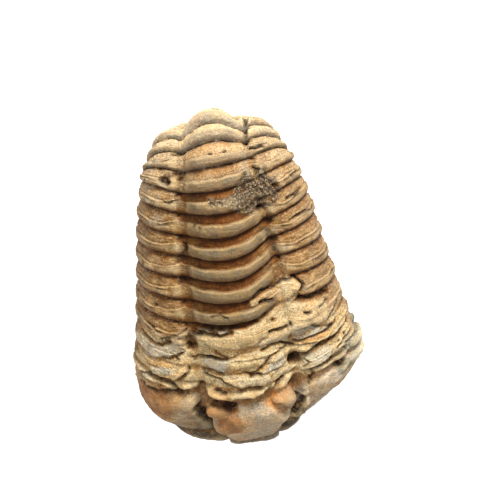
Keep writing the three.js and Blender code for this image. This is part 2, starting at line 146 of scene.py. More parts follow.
def read_curve(pairs, at):
    """Cubic through (place, value) pairs, each slope taken from the two neighbours."""
    x, y = np.array(pairs, dtype=float).T
    before = np.maximum(np.arange(len(x)) - 1, 0)
    after = np.minimum(np.arange(len(x)) + 1, len(x) - 1)
    slope = (y[after] - y[before]) / (x[after] - x[before])
    at = np.clip(at, x[0], x[-1])
    i = np.clip(np.searchsorted(x, at, side="right") - 1, 0, len(x) - 2)
    span = x[i + 1] - x[i]
    u = (at - x[i]) / span
    rise = y[i + 1] - y[i]
    start = slope[i] * span
    end = slope[i + 1] * span
    return y[i] + u * (start + u * (3 * rise - 2 * start - end + u * (start + end - 2 * rise)))


def read_stations(values, tail_end, head_end, station):
    """Straight reading of a list that stands at stations 0..13, given ends at -1 and 14."""
    return np.interp(station, np.arange(-1, SEGMENTS + 2), [tail_end, *values, head_end])


def trace_crest():
    """Sum of cos and sin of the tilt over the place gives reach and height; top at z = 0."""
    places = np.arange(0, BACK_LENGTH + BACK_STEP / 2, BACK_STEP)
    tilt = np.radians(read_curve(BACK_TILT, places))
    mean = (tilt[1:] + tilt[:-1]) / 2
    y = np.concatenate([[0], -np.cumsum(np.cos(mean)) * BACK_STEP])
    z = np.concatenate([[0], -np.cumsum(np.sin(mean)) * BACK_STEP])
    return places, y, z - z.max(), tilt


CREST = trace_crest()


def read_sides(left_values, right_values, station, across):
    """One of two lists, by side, read at the stations; both end at 0."""
    left = read_stations(left_values, 0, 0, station)
    return np.where(across < 0, left, read_stations(right_values, 0, 0, station))


def place_of(station, across):
    """Crest place of the station plus the backward sweep of furrow and edge at this across."""
    crest = read_stations(FURROW_PLACE, 0, BACK_LENGTH, station)
    inner = read_sides(SHIFT_LEFT_FURROW, SHIFT_RIGHT_FURROW, station, across)
    outer = read_sides(SHIFT_LEFT_EDGE, SHIFT_RIGHT_EDGE, station, across)
    away = np.abs(across)
    flank = np.clip(1 - (away - FURROW_ACROSS) / (1 - FURROW_ACROSS), 0, 1)
    in_axis = inner * (away / FURROW_ACROSS) ** 2
    return crest + np.where(away <= FURROW_ACROSS, in_axis, outer + (inner - outer) * flank ** 1.3)


def end_factor(place):
    """Quarter circle over the last END_ROUNDING mm at both ends, 1 elsewhere."""
    near = np.clip(np.minimum(place, BACK_LENGTH - place) / END_ROUNDING, 0, 1)
    return np.sqrt(1 - (1 - near) ** 2)


def widths(place, across):
    """Half widths of axis and body and the two drops at a place, shrinking at both ends."""
    close = end_factor(place)
    in_cheek = ease(HEAD_START, HEAD_FULL, place)
    narrowing = read_curve(HEAD_RIGHT_NARROWING, place)
    widening = np.where(across < 0, HEAD_LEFT_WIDENING * in_cheek, -narrowing)
    axis_half = read_curve(AXIS_HALF_WIDTH, place) * close
    body_half = read_curve(BODY_HALF_WIDTH, place) * close * (1 + widening)
    axis_rise = read_curve(AXIS_RISE, place) * close
    flank_drop = read_curve(FLANK_DROP, place) * close
    return axis_half, body_half, axis_rise, flank_drop, in_cheek


def smooth_back(station, across):
    """Back without relief: a cosine dome across the axis, then an elliptic turn of the flank."""
    place = np.clip(place_of(station, across), 0, BACK_LENGTH)
    crest_y, crest_z, tilt = (np.interp(place, CREST[0], line) for line in CREST[1:])
    axis_half, body_half, axis_rise, flank_drop, in_cheek = widths(place, across)
    away = np.abs(across)
    part = np.minimum(away / FURROW_ACROSS, 1)
    in_head = ease(SEGMENTS + 0.1, SEGMENTS + 0.4, station)
    roundness = AXIS_ROUNDNESS + (GLABELLA_ROUNDNESS - AXIS_ROUNDNESS) * in_head
    turn = np.clip((away - FURROW_ACROSS) / (1 - FURROW_ACROSS), 0, 1) * FLANK_TURN
    x = axis_half * part + (body_half - axis_half) * np.sin(turn)
    drop = axis_rise * (1 - np.cos(math.pi * part ** roundness)) / 2
    drop = drop + flank_drop * (1 - np.cos(turn))
    return np.stack([
        np.sign(across) * x + HEAD_SIDE_SHIFT * in_cheek,
        crest_y + drop * np.sin(tilt),
        crest_z - drop * np.cos(tilt),
    ], axis=-1)


def unit(vectors):
    """Vectors divided by their length."""
    length = np.linalg.norm(vectors, axis=-1, keepdims=True)
    return vectors / np.maximum(length, TINY)


def back_normal(station, across):
    """Cross product of the surface's steps sideways and along."""
    before = smooth_back(np.maximum(station - STATION_STEP, -1), across)
    after = smooth_back(np.minimum(station + STATION_STEP, SEGMENTS + 1), across)
    left = smooth_back(station, np.maximum(across - ACROSS_STEP, -1))
    right = smooth_back(station, np.minimum(across + ACROSS_STEP, 1))
    return unit(np.cross(right - left, before - after))


def flat_map(station, across):
    """The back rolled out flat, mm: place, and the way across from the crest."""
    place = place_of(station, across)
    axis_half, body_half, _, flank_drop, _ = widths(np.clip(place, MAP_FIRST, MAP_LAST), across)
    away = np.abs(across)
    part = np.minimum(away / FURROW_ACROSS, 1)
    turn = np.clip((away - FURROW_ACROSS) / (1 - FURROW_ACROSS), 0, 1) * FLANK_TURN
    flank = (body_half - axis_half + flank_drop) / 2 * turn
    return np.stack([place, np.sign(across) * (axis_half * part + flank)], axis=-1)


# ---- noise; its shift picks a pattern of its own ----
NOISE_SIDE = 32
GRADIENTS = unit(np.random.default_rng(11).normal(size=(NOISE_SIDE,) * 3 + (3,)))
CELL_POINTS = np.random.default_rng(12).random((NOISE_SIDE,) * 3 + (3,))
CORNERS = np.stack(np.meshgrid([0, 1], [0, 1], [0, 1], indexing="ij"), axis=-1).reshape(-1, 3)
NEIGHBOURS = np.stack(np.meshgrid(*[[-1, 0, 1]] * 3, indexing="ij"), axis=-1).reshape(-1, 3)
NOISE_REACH = 1.6
OCTAVE_SHIFT = 7.3


def grain(points, size, shift=0.0):
    """Gradient noise about -1..1: each corner of a lattice of this size holds a slope, and the
    eight slopes' readings are blended by 6p^5 - 15p^4 + 10p^3."""
    at = points / size + shift
    corner = np.floor(at).astype(int)
    part = at - corner
    blend = part ** 3 * (part * (part * 6 - 15) + 10)
    total = 0.0
    for step in CORNERS:
        slope = GRADIENTS[tuple(np.moveaxis((corner + step) % NOISE_SIDE, -1, 0))]
        weight = np.prod(np.where(step, blend, 1 - blend), axis=-1)
        total = total + weight * np.sum(slope * (part - step), axis=-1)
    return total * NOISE_REACH


def rough(points, size, octaves=4, shift=0.0, gain=0.5):
    """Sum of noise at halving sizes and falling heights."""
    total = 0.0
    height = 1.0
    for octave in range(octaves):
        total = total + height * grain(points, size / 2 ** octave, shift + OCTAVE_SHIFT * octave)
        height *= gain
    return total


def cells(points, size):
    """Distance to the nearest of points strewn one per lattice cell."""
    at = points / size
    home = np.floor(at).astype(int)
    nearest = np.full(at.shape[:-1], 9.0)
    for step in NEIGHBOURS:
        spot = home + step + CELL_POINTS[tuple(np.moveaxis((home + step) % NOISE_SIDE, -1, 0))]
        nearest = np.minimum(nearest, np.linalg.norm(spot - at, axis=-1))
    return nearest


def swell(x, y, z):
    """Slow uneven swell of a few crossing waves."""
    first = np.sin(0.61 * x + 0.34 * y + 1.3) * np.sin(0.47 * y - 0.52 * z + 0.4)
    second = np.sin(1.13 * x - 0.71 * z + 2.1) * np.sin(0.97 * y + 0.83 * x - 0.6)
    return 0.65 * first + 0.35 * second


# ---- relief of the back, mm ----
RING_RELIEF_AXIS = 1.4
RING_RELIEF_FURROW = 0.55
RING_RELIEF_FLANK = 0.8
AXIAL_FURROW_DEPTH = 1.1
TAIL_FURROW_DEPTH = 0.3
AXIAL_FURROW_SPREAD = 0.045
HEAD_FURROW_DEPTH = 2.6
TAIL_RINGS = 6
TAIL_RELIEF = 0.4
OCCIPITAL_LENGTH = 3.0
OCCIPITAL_RISE = 0.6
OCCIPITAL_FURROW_DEPTH = 1.8
GLABELLA_RISE = 0.7
CHEEK_RISE = 0.9
FRONT_BORDER_PLACE = 113.5
FRONT_BORDER_RISE = 0.9
FRONT_FURROW_PLACE = 110
FRONT_FURROW_DEPTH = 0.9
MATRIX_SHEET_LEVEL = 0.45
MATRIX_SHEET_FILL = 0.9
LEDGE_SOFTNESS = 0.18

# Lumps and hollows of the solid: station, across, radius, height.
SPOTS = [
    (13.21, -0.3, 3.7, 2.1), (13.17, 0.29, 3.8, 2.1), (13.39, -0.28, 3, 1.3), (13.37, 0.29, 2.9, 1.2),
    (13.36, 0.02, 8, 0.9), (13.23, -0.15, 2, -0.9), (13.2, 0.15, 2, -0.9), (13.31, -0.29, 1.7, -0.7),
    (13.28, 0.3, 1.7, -0.7), (13.12, 0.7, 2.6, 1.4), (13.12, 0.87, 5.5, 1.6), (13.05, 0.77, 2, -0.8),
    (13.36, -0.66, 8, 1.1), (3.5, -0.55, 2.2, -1.2), (10.82, -0.44, 1.9, -1.6),
    (13.05, -0.55, 1.8, -1.3), (12.05, 0.42, 2.4, -1.4), (13.04, 0.16, 2, -1), (4.3, 0.3, 5.2, -0.7),
    (5.1, 0.4, 3.2, -0.5),
]

# Torn ledges: rise, reach, raised side (1 tail, -1 head), line of (station, across), left first.
LEDGES = [
    (1.3, 2.6, 1, [(13.2, -0.44), (13.15, -0.28), (13.16, -0.1)]),
    (1.1, 2.4, 1, [(13.15, -0.1), (13.02, 0.2)]),
    (0.9, 2.2, 1, [(13.16, -0.95), (13.15, -0.79), (13.15, -0.69), (13.12, -0.6), (13.14, -0.5)]),
    (0.8, 2.4, 1, [(13, 0.42), (13.02, 0.78)]),
    (0.5, 3, 1, [(10.67, 0.42), (10.76, 0.54), (11.05, 0.64), (11.19, 0.68), (11.33, 0.74)]),
    (0.5, 1.5, -1, [(11.29, -0.64), (10.67, -0.51), (10.76, -0.47), (10.48, -0.39), (10.38, -0.23)]),
    (0.6, 2.2, 1, [(12.3, -0.24), (13, -0.04)]),
    (0.5, 2.5, 1, [(9.76, 0.51), (9.95, 0.44), (10, 0.36)]),
]

# Narrow cracks and gaps: width, depth, line of (station, across).
CRACKS = [
    # the upper flanks and the right axial furrow
    (0.45, 1.3, [(-0.2, 0.56), (0.4, 0.5), (1, 0.475), (1.6, 0.45), (2.4, 0.42)]),
    (0.45, 0.9, [(2.52, 0.43), (2.71, 0.5), (2.76, 0.57)]),
    (0.25, 0.4, [(2.57, 0.14), (2.52, 0.19)]),
    (0.25, 0.4, [(2.57, -0.07), (2.57, -0.01)]),
    (0.35, 0.8, [(3.48, 0.41), (3.67, 0.48)]),
    (0.8, 1.1, [(3.71, -0.6), (3.57, -0.58), (3.71, -0.51)]),
    (0.3, 0.6, [(4.57, -0.57), (4.57, -0.52), (4.33, -0.44)]),
    (0.7, 1.2, [(4.76, 0.54), (4.71, 0.56), (4.67, 0.59)]),
    (0.3, 0.6, [(4.62, 0.71), (4.52, 0.85)]),
    (0.3, 0.5, [(5.48, 0.61), (5.52, 0.73), (5.48, 0.83)]),
    (0.3, 0.5, [(6.52, 0.58), (6.48, 0.69), (6.57, 0.82)]),
    (0.35, 0.9, [(6.29, -0.4), (6.62, -0.41), (6.95, -0.42)]),
    (0.3, 0.7, [(9.48, -0.22), (9.43, -0.15), (9.52, -0.07)]),
    # the sheet of matrix
    (0.45, 0.9, [(9.1, 0.1), (8.76, 0.22), (9.1, 0.36), (9.05, 0.44), (9.05, 0.52), (9.48, 0.57),
        (9.76, 0.51)]),
    (0.45, 0.9, [(9.24, 0.19), (9.33, 0.25), (9.57, 0.33)]),
    (0.6, 1.2, [(9.81, 0.5), (10, 0.54), (10.05, 0.6), (10.1, 0.68), (10.19, 0.78)]),
    (0.6, 1.1, [(10.02, -0.4), (10.05, -0.08), (10, 0.15), (9.9, 0.3)]),
    (0.4, 0.8, [(10.38, 0.51), (10.48, 0.57)]),
    (0.4, 0.8, [(10.52, 0.22), (10.57, 0.29), (10.62, 0.34), (10.62, 0.42)]),
    (0.3, 0.4, [(10.43, 0.62), (10.38, 0.74)]),
    # the torn band
    (0.35, 0.9, [(11.24, -0.89), (11.29, -0.77), (11.33, -0.69), (11.33, -0.63), (11.14, -0.6),
        (10.86, -0.54)]),
    (0.25, 0.5, [(10.48, -0.77), (10.62, -0.68), (10.67, -0.62)]),
    (0.25, 0.4, [(11.05, -0.66), (10.76, -0.56), (10.43, -0.49), (10.14, -0.42)]),
    (0.3, 0.8, [(11.9, -0.65), (11.81, -0.59), (11.52, -0.52), (11.33, -0.48)]),
    (0.5, 1.4, [(10.9, -0.46), (11.1, -0.43), (10.9, -0.4)]),
    (0.3, 0.8, [(11.52, -0.47), (11.57, -0.42), (11.43, -0.39), (11.38, -0.29), (11.43, -0.19),
        (11.43, -0.12)]),
    (0.5, 1.3, [(13.01, -0.72), (13.03, -0.65), (13.02, -0.6), (13.01, -0.55), (12.57, -0.5),
        (12.29, -0.48)]),
    (0.35, 0.8, [(13.13, -0.96), (13.02, -0.73), (13.04, -0.66), (13.04, -0.58), (13.14, -0.55),
        (13.14, -0.49)]),
    (0.7, 1.4, [(13.13, -0.57), (13.14, -0.54)]),
    (0.35, 1, [(12.05, -0.39), (12.14, -0.34), (12.14, -0.28), (12.19, -0.19)]),
    (0.3, 0.8, [(12.05, -0.39), (12.38, -0.36), (12.43, -0.28), (12.43, -0.21)]),
    (0.7, 1.2, [(13.03, -0.42), (13.12, -0.41)]),
    (0.35, 0.7, [(13.03, -0.3), (13.03, -0.25), (13.04, -0.18)]),
    (0.5, 1.2, [(10.29, -0.4), (10.33, -0.29), (10.33, -0.22), (10.33, -0.14), (10.19, -0.04)]),
    (0.3, 0.7, [(10.1, -0.26), (10.29, -0.22)]),
    (0.25, 0.5, [(10.71, -0.29), (11.14, -0.25), (11.38, -0.14)]),
    (0.35, 0.9, [(11.24, 0.14), (11.1, 0.25), (11.14, 0.33), (11.38, 0.4), (11.48, 0.44)]),
    (0.35, 0.9, [(10.52, 0.22), (10.62, 0.33), (10.62, 0.42), (10.48, 0.43)]),
    (0.35, 0.7, [(11.24, 0.41), (11.29, 0.49), (11.33, 0.58), (11.52, 0.68)]),
    (0.4, 0.8, [(11.43, 0.66), (11.43, 0.71), (11.38, 0.75)]),
    (1, 2.2, [(12.48, 0.37), (12.43, 0.42), (12.33, 0.46)]),
    (0.75, 2, [(12.29, 0.36), (12.14, 0.46), (12.03, 0.58), (12.12, 0.7), (12.15, 0.78)]),
    (0.3, 0.7, [(12.19, -0.03), (12.29, 0.03), (12.1, 0.15), (11.57, 0.22), (11.48, 0.32),
        (11.43, 0.4)]),
    (0.4, 0.8, [(12.38, 0.01), (12.38, 0.08), (12.43, 0.14)]),
    (0.5, 1.2, [(13.12, 0.15), (13.05, 0.22), (13.02, 0.29), (13.02, 0.33)]),
    (0.35, 0.9, [(12.48, -0.21), (12.71, -0.14), (13.02, -0.07), (13.02, 0.01), (13.02, 0.14)]),
    (0.3, 0.6, [(10.67, 0.81), (10.81, 0.73), (11, 0.67)]),
    (0.3, 0.7, [(11.67, 0.87), (12, 0.81), (12.24, 0.71)]),
    (0.3, 0.7, [(12.52, 0.86), (12.71, 0.78), (12.76, 0.67)]),
    (0.3, 0.6, [(12.33, 0.47), (12.57, 0.5), (12.9, 0.46)]),
    (0.25, 0.4, [(13.03, 0.46), (13.13, 0.5), (13.16, 0.5), (13.18, 0.47)]),
    # beside the glabella
    (1, 2, [(13.13, -0.32), (13.15, -0.27), (13.17, -0.2), (13.19, -0.14)]),
    (0.8, 1, [(13.26, -0.46), (13.4, -0.46), (13.6, -0.44), (13.72, -0.42)]),
    (0.7, 0.8, [(13.3, 0.46), (13.45, 0.48), (13.6, 0.47)]),
    (0.4, 0.5, [(13.02, 0.5), (13.12, 0.525), (13.17, 0.48)]),
]

# Small holes: station, across, radius, depth.
HOLES = [
    (1.33, 0.45, 0.7, 0.9), (2.9, -0.79, 0.45, 0.7), (3, -0.76, 0.4, 0.6), (3.05, -0.62, 0.4, 0.6),
    (3.81, -0.76, 0.35, 0.5), (3.33, -0.43, 0.7, 0.9), (5.33, 0.4, 0.8, 1.1), (5.43, -0.29, 0.35, 0.4),
    (5.43, -0.23, 0.3, 0.4), (5.9, -0.82, 0.5, 0.8), (7.71, -0.77, 0.5, 0.8), (10.1, -0.79, 0.45, 0.7),
    (9.48, -0.66, 0.5, 0.8), (10.24, 0.29, 0.5, 0.7), (11.71, -0.53, 0.5, 0.6), (13.03, -0.4, 0.7, 0.9),
    (12.48, 0.71, 0.4, 0.6), (12.14, 0.88, 0.4, 0.6), (12.43, 0.79, 0.4, 0.6), (13.13, 0.69, 1.3, 1.5),
    (2.86, 0.93, 0.4, 0.5), (3.67, 0.87, 0.4, 0.5), (6.38, 0.94, 0.45, 0.6), (7.19, 0.92, 0.45, 0.6),
]

# Dark crystals grown over the right axial furrow: outline of (station, across).
CRYSTAL_OUTLINE = [
    (3.5, 0.33), (3.7, 0.49), (4.24, 0.54), (4.71, 0.6), (5.43, 0.5), (5.43, 0.41), (5.19, 0.33),
    (5.4, 0.29), (5.15, 0.2), (4.75, 0.1), (4.6, -0.12), (4.36, -0.12), (4.3, 0.15), (3.95, 0.24),
]

# Round lobes at the sides of the glabella: station, across, radius, rise.
GLABELLA_LOBES = [(13.2, 0.29, 3.2, 0.55), (13.17, -0.275, 4.1, 1.3), (13.33, -0.19, 3.6, 0.7)]

# Plates of the torn band: rise, greyness, hue (-1 cream, 1 rust), outline of (station, across).
PLATES = [
    (0.4, 0.9, 0.1, [(11.38, -0.91), (11.33, -0.77), (11.33, -0.63), (11.05, -0.58), (10.76, -0.52),
        (10.86, -0.48), (11.29, -0.49), (11.67, -0.6), (12.1, -0.72), (12.14, -0.84)]),
    (0.4, 0.3, 0.1, [(10.62, -0.69), (10.71, -0.62), (10.76, -0.57), (10.14, -0.42), (10.33, -0.41),
        (10.67, -0.5), (11.14, -0.61), (11.29, -0.68)]),
    (0.3, 0.1, 0.9, [(12.29, -0.76), (12.1, -0.66), (11.95, -0.55), (12.24, -0.57), (12.43, -0.65),
        (12.57, -0.74)]),
    (0.7, 0.9, 0, [(12.67, -0.72), (12.33, -0.63), (12.24, -0.55), (12.48, -0.55), (12.71, -0.61),
        (13, -0.7)]),
    (0.7, 0.2, 0.7, [(12.9, -0.68), (12.71, -0.61), (12.43, -0.55), (11.9, -0.48), (12.29, -0.48),
        (12.52, -0.5), (13.01, -0.57), (13.02, -0.63)]),
    (0.45, 1, 0.1, [(13.15, -0.93), (13.02, -0.82), (13.03, -0.72), (13.08, -0.66), (13.14, -0.68),
        (13.16, -0.76), (13.16, -0.85)]),
    (0.4, 0.9, -0.2, [(13.13, -0.67), (13.05, -0.6), (13.13, -0.57), (13.15, -0.52), (13.16, -0.53),
        (13.15, -0.62)]),
    (0.25, 0.2, -0.3, [(11.71, -0.46), (11.52, -0.41), (11.43, -0.36), (11.67, -0.32), (12.1, -0.37),
        (12.43, -0.33), (12.43, -0.25), (13.12, -0.43), (12.95, -0.48), (12.86, -0.51),
        (12.33, -0.47)]),
    (0.4, 0.3, 0.7, [(11.24, -0.45), (10.81, -0.34), (11.05, -0.33), (11.43, -0.39), (11.52, -0.43)]),
    (0.4, 1, 0, [(11.48, -0.36), (11.38, -0.28), (11.43, -0.12), (12.1, -0.18), (12.14, -0.25),
        (11.81, -0.33)]),
    (0.45, 0.1, 0.7, [(12.14, -0.36), (12.24, -0.22), (12.38, -0.21), (12.43, -0.28), (12.38, -0.34)]),
    (0.6, 1, 0, [(10.14, -0.4), (10.1, -0.28), (10.29, -0.26), (10.33, -0.32)]),
    (0.7, 0.9, -0.1, [(10.05, -0.26), (10.1, -0.06), (10.19, -0.06), (10.29, -0.12), (10.24, -0.22)]),
    (0.5, 0, -1, [(10.52, -0.4), (10.38, -0.22), (10.33, 0), (10.24, 0.18), (10.48, 0.41),
        (10.62, 0.41), (10.62, 0.29), (10.62, 0.18), (10.9, 0.08), (11.29, -0.11), (11, -0.23),
        (10.62, -0.29)]),
    (0.45, 0.6, 0.1, [(10.76, 0.17), (10.67, 0.28), (10.71, 0.41), (11.24, 0.41), (11.14, 0.34),
        (11.1, 0.25), (11.14, 0.12)]),
    (0.4, 1, 0.1, [(10.57, 0.43), (10.67, 0.5), (11.38, 0.67), (11.43, 0.62), (11.29, 0.5),
        (11.24, 0.42)]),
    (0.3, 0, 1, [(11.29, 0.43), (11.38, 0.6), (11.57, 0.68), (11.76, 0.67), (11.86, 0.6), (11.48, 0.49),
        (11.48, 0.43)]),
    (0.7, 0.2, 0.6, [(11.57, 0.33), (11.52, 0.43), (12.14, 0.6), (12.1, 0.67), (12.05, 0.76),
        (12.24, 0.77), (12.29, 0.69), (12.24, 0.59), (12.14, 0.48), (12.33, 0.45), (12.29, 0.36)]),
    (0.6, 0.9, 0, [(12.38, 0.12), (12.14, 0.18), (11.71, 0.26), (11.62, 0.32), (12.19, 0.36),
        (12.38, 0.26)]),
    (0.5, 0.9, 0, [(12.14, 0.48), (12.29, 0.62), (12.48, 0.66), (12.81, 0.64), (13.02, 0.59),
        (13.03, 0.51), (13, 0.43), (12.38, 0.47)]),
    (0.25, 0.4, -0.3, [(11.14, -0.03), (11.14, 0.23), (11.29, 0.33), (11.52, 0.29), (11.52, 0.14),
        (11.48, -0.04), (11.43, -0.11)]),
    (0.3, 0.1, -0.7, [(11.52, -0.14), (11.52, 0), (11.71, 0.14), (12.19, 0.11), (12.14, -0.01),
        (12.14, -0.17)]),
    (0.45, 0.6, 0.1, [(12.38, -0.21), (12.19, -0.11), (12.38, 0.01), (12.43, 0.14), (12.52, 0.18),
        (13.02, 0.21), (13.02, 0), (13.02, -0.08), (12.62, -0.14)]),
    (0.45, 0.3, -0.5, [(12.76, -0.15), (13.03, -0.08), (13.11, 0.17), (13.14, 0.15), (13.16, 0.03),
        (13.16, -0.11), (13.13, -0.17)]),
    (0.45, 0.1, 0.5, [(13.06, -0.39), (12.86, -0.29), (12.76, -0.17), (13.11, -0.12), (13.13, -0.18),
        (13.09, -0.28)]),
    (0.5, 0.1, 0.6, [(13.14, 0.17), (13.05, 0.25), (13.09, 0.34), (13.29, 0.41), (13.44, 0.44),
        (13.19, 0.23), (13.2, 0.19)]),
    (0.4, 0.2, 0.4, [(13.02, 0.12), (12.81, 0.22), (13.01, 0.33), (13.03, 0.32), (13.06, 0.22),
        (13.12, 0.18)]),
]

# Grey chalky patches, rubble in the right furrow of the head, rock left on the head's right edge,
# rust on the head, and painted shading in hollows by the glabella plus a stain: station, across,
# radius.
CHALK_CIRCLES = [
    (2.86, -0.69, 2.4), (3.71, -0.57, 1.5), (4.05, -0.75, 2), (4.76, -0.66, 2.2), (5.71, -0.63, 2.3),
    (7.9, -0.73, 1.3), (13.25, 0.05, 3.2), (13.3, 0.46, 3), (13.2, 0.62, 4), (13.21, 0.33, 2.3),
]
RUBBLE_CIRCLES = [(13.25, 0.44, 1.8), (13.4, 0.47, 2.4), (13.55, 0.48, 2.8)]
ROCK_CIRCLES = [
    (12.75, 0.98, 2.6), (13.1, 0.82, 4.6), (13.05, 0.95, 4), (13.2, 0.93, 3.6), (13.16, 0.72, 2.6),
]
RUST_CIRCLES = [
    (13.3, -0.75, 7.5), (13.34, -0.18, 3.2), (13.19, -0.27, 3.8), (13.2, 0.25, 2.2), (13.2, 0.32, 2.6),
]
# Painted shading beside the glabella, under the ledge over its left lobe, in the right furrow, in the
# hollow of the rock lump and toward the front of the head; the last three circles are a dark brown
# stain beside the right axial furrow.
SHADE_AND_STAIN_CIRCLES = [
    (13.3, -0.47, 1.5), (13.42, -0.47, 2.4), (13.55, -0.46, 3.4), (13.7, -0.5, 5), (13.18, -0.19, 1.8),
    (13.58, 0.5, 2.6), (13.1, 0.69, 1.9), (13.7, 0.3, 4), (13.8, -0.1, 5), (6.5, 0.39, 1.1),
    (7.05, 0.415, 1.4), (7.45, 0.43, 0.9),
]

# Hind edge of each segment's ring on the axis, and how far its half ring climbs before it.
AXIS_EDGE = [0.5, 0.55, 0.58, 0.46, 0.37, 0.36, 0.34, 0.36, 0.33, 0.35, 0.4, 0.4, 0.4]
AXIS_CLIMB = [0.85, 0.85, 0.85, 0.7, 0.45, 0.35, 0.3, 0.3, 0.3, 0.35, 0.5, 0.5, 0.5]
# The same on the flanks: edges at these ways across, one climb.
FLANK_STOPS = [0.42, 0.47, 0.58, 0.7, 0.82, 1]
LEFT_FLANK_EDGE = [0.22, 0.3, 0.54, 0.56, 0.5, 0.42]
RIGHT_FLANK_EDGE = [0.28, 0.42, 0.56, 0.52, 0.48, 0.42]
FLANK_CLIMB = 0.8
EDGE_UNEVENNESS = 0.035
RING_STEP = 1.4
RING_CROWN = 0.14

# Borders of the sheet of clinging matrix: station, across.
SHEET_LOW = [
    (8.9, 0.25), (9.05, 0.1), (9.3, 0.12), (9.45, 0.33), (9.9, 0.36), (10.1, 0.1), (10.3, -0.42),
]
SHEET_HIGH = [
    (8.9, 0.45), (9, 0.52), (9.5, 0.57), (9.75, 0.5), (10.05, 0.5), (10.3, 0.7), (11, 0.72),
]

# ---- fine relief, mm ----
LIP_RISE = 0.06
SECOND_LIP_RISE = 0.12
SLIT_DEPTH = 0.3
CREASE_DEPTH = 0.35
TORN_LEVEL = 0.1
TORN_LEVELLING = 0.65
CRYSTAL_LEVELLING = 0.8
SHEET_LEVELLING = 0.85
TAIL_LEVEL = -0.4
# Stations of the torn band: from, to, softness; and how far out it reaches.
TORN_RINGS = (10.8, 12.9, 0.3)
TORN_FLAKES = (11, 12.95, 0.25)
LIPLESS = (10.9, 12.9, 0.2)
TORN_RINGS_OUT = (0.72, 0.9)
TORN_FLAKES_OUT = (0.78, 0.93)
HEAD_STATIONS = (12.95, 13.15)
TIP_OUT = (0.84, 0.99)
WANDER = 0.28
LINE_BITS = 8
PLATE_EDGE = 0.22
PLATE_GROOVE = 0.15
PIT_ACROSS = 0.445
PIT_DEPTH = 0.8
PITLESS_RIGHT = (4, 5, 9, 10, 11, 12)
FLAKE_SIZE = (2.4, 6, 20)
FLAKE_WANDER = 1.6
FLAKES_PER_MM = 0.24
FLAKE_START = 0.1
FLAKE_RISE = 0.15
FLAKE_BED = 0.25
CHIP_DEPTH = 0.16
CRYSTAL_SIZE = 0.9
CRYSTAL_RISE = 0.75
CRYSTAL_BED = 0.35
RUBBLE_RISE = 1.0
ROCK_RISE = 0.3
SWELL_RISE = 0.18
AXIS_UNEVENNESS = 0.14
AXIS_LAYERS = 0.02
FLANK_LAYERS = 0.08
FINE_GRAIN = 0.09
COARSE_GRAIN = 0.12
MATRIX_GRAIN = 0.14
PLATE_SHADOW = 0.42


def segment_profile(part, edge, climb):
    """The half ring climbs out of the furrow by 1-(1-p/e)^2.2, a wall stands at the edge e, and
    the ring lies nearly flat and falls off by the fifth power into the next furrow."""
    first = climb * (1 - (1 - np.clip(part / edge, 0, 1)) ** 2.2)
    on = np.clip((part - edge) / (1 - edge), 0, 1)
    wall = climb + (RING_STEP - climb) * ease(0, 0.06, on)
    ring = wall + RING_CROWN * np.sin(math.pi * on) - RING_STEP * on ** 5
    return np.where(part < edge, first, ring) - 1


def ring_relief(across):
    """Height of the rings: full on the axis, low at the axial furrow, middling on the flank."""
    away = np.abs(across)
    axis = RING_RELIEF_AXIS + (RING_RELIEF_FURROW - RING_RELIEF_AXIS) * ease(0.2, 0.4, away)
    return axis + (RING_RELIEF_FLANK - RING_RELIEF_FURROW) * ease(0.44, 0.56, away)


def segment_shape(station, across):
    """Edge and climb of the segment that a station lies in, from the axis out to the tip."""
    segment = np.clip(np.floor(station), 0, SEGMENTS - 1).astype(int)
    away = np.abs(across)
    axis_edge = np.array(AXIS_EDGE)[segment]
    left_edge = np.interp(away, FLANK_STOPS, LEFT_FLANK_EDGE)
    right_edge = np.interp(away, FLANK_STOPS, RIGHT_FLANK_EDGE)
    flank_edge = np.where(across < 0, left_edge, right_edge)
    on_flank = ease(0.415, 0.455, away)
    edge = axis_edge + (flank_edge - axis_edge) * on_flank
    uneven = np.sin(11 * across + 2.3 * segment) * np.sin(19 * across - 1.7 * segment + 0.5)
    edge = edge + EDGE_UNEVENNESS * uneven
    axis_climb = np.array(AXIS_CLIMB)[segment]
    return edge, axis_climb + (FLANK_CLIMB - axis_climb) * on_flank


def sheet_cover(station, across):
    """Cover of clinging matrix over the tenth and eleventh segment, 0..1, between two borders."""
    low = np.interp(station, *zip(*SHEET_LOW))
    high = np.interp(station, *zip(*SHEET_HIGH))
    along = ease(8.85, 9.1, station) * (1 - ease(10.75, 11, station))
    return along * ease(low, low + 0.08, across) * (1 - ease(high - 0.06, high + 0.02, across))


def axial_furrow(station, across):
    """Groove along the side of the axis: a bell over across, deepest in the head."""
    change = (TAIL_FURROW_DEPTH - AXIAL_FURROW_DEPTH) * (1 - ease(1, 4, station))
    change = change + (HEAD_FURROW_DEPTH - AXIAL_FURROW_DEPTH) * ease(12.9, 13.15, station)
    ends = ease(-0.9, -0.3, station) * (1 - ease(13.7, 13.9, station))
    depth = (AXIAL_FURROW_DEPTH + change) * ends
    return depth * bell(np.abs(across), FURROW_ACROSS, AXIAL_FURROW_SPREAD)


def head_relief(station, across):
    """Neck ring and furrow, dome of the glabella, cheeks, front furrow and front border."""
    away = np.abs(across)
    place = place_of(station, across)
    into = place - place_of(np.full_like(station, SEGMENTS), across)
    ring = OCCIPITAL_RISE * np.sin(math.pi * np.clip(into / OCCIPITAL_LENGTH, 0, 1))
    furrow = OCCIPITAL_FURROW_DEPTH * bell(into, OCCIPITAL_LENGTH + 0.9, 1.1)
    start = -ring_relief(across) * bell(into, 0, 0.9)
    dome = GLABELLA_RISE * (1 - ease(0.36, 0.44, away)) * ease(4, 8, into)
    cheek = CHEEK_RISE * bell(away, 0.68, 0.2) * ease(3, 9, into) * (1 - ease(106, 112, place))
    border = FRONT_BORDER_RISE * bell(place, FRONT_BORDER_PLACE, 1.8)
    gutter = FRONT_FURROW_DEPTH * bell(place, FRONT_FURROW_PLACE, 1.5)
    return ring - furrow + start + dome + cheek + border - gutter


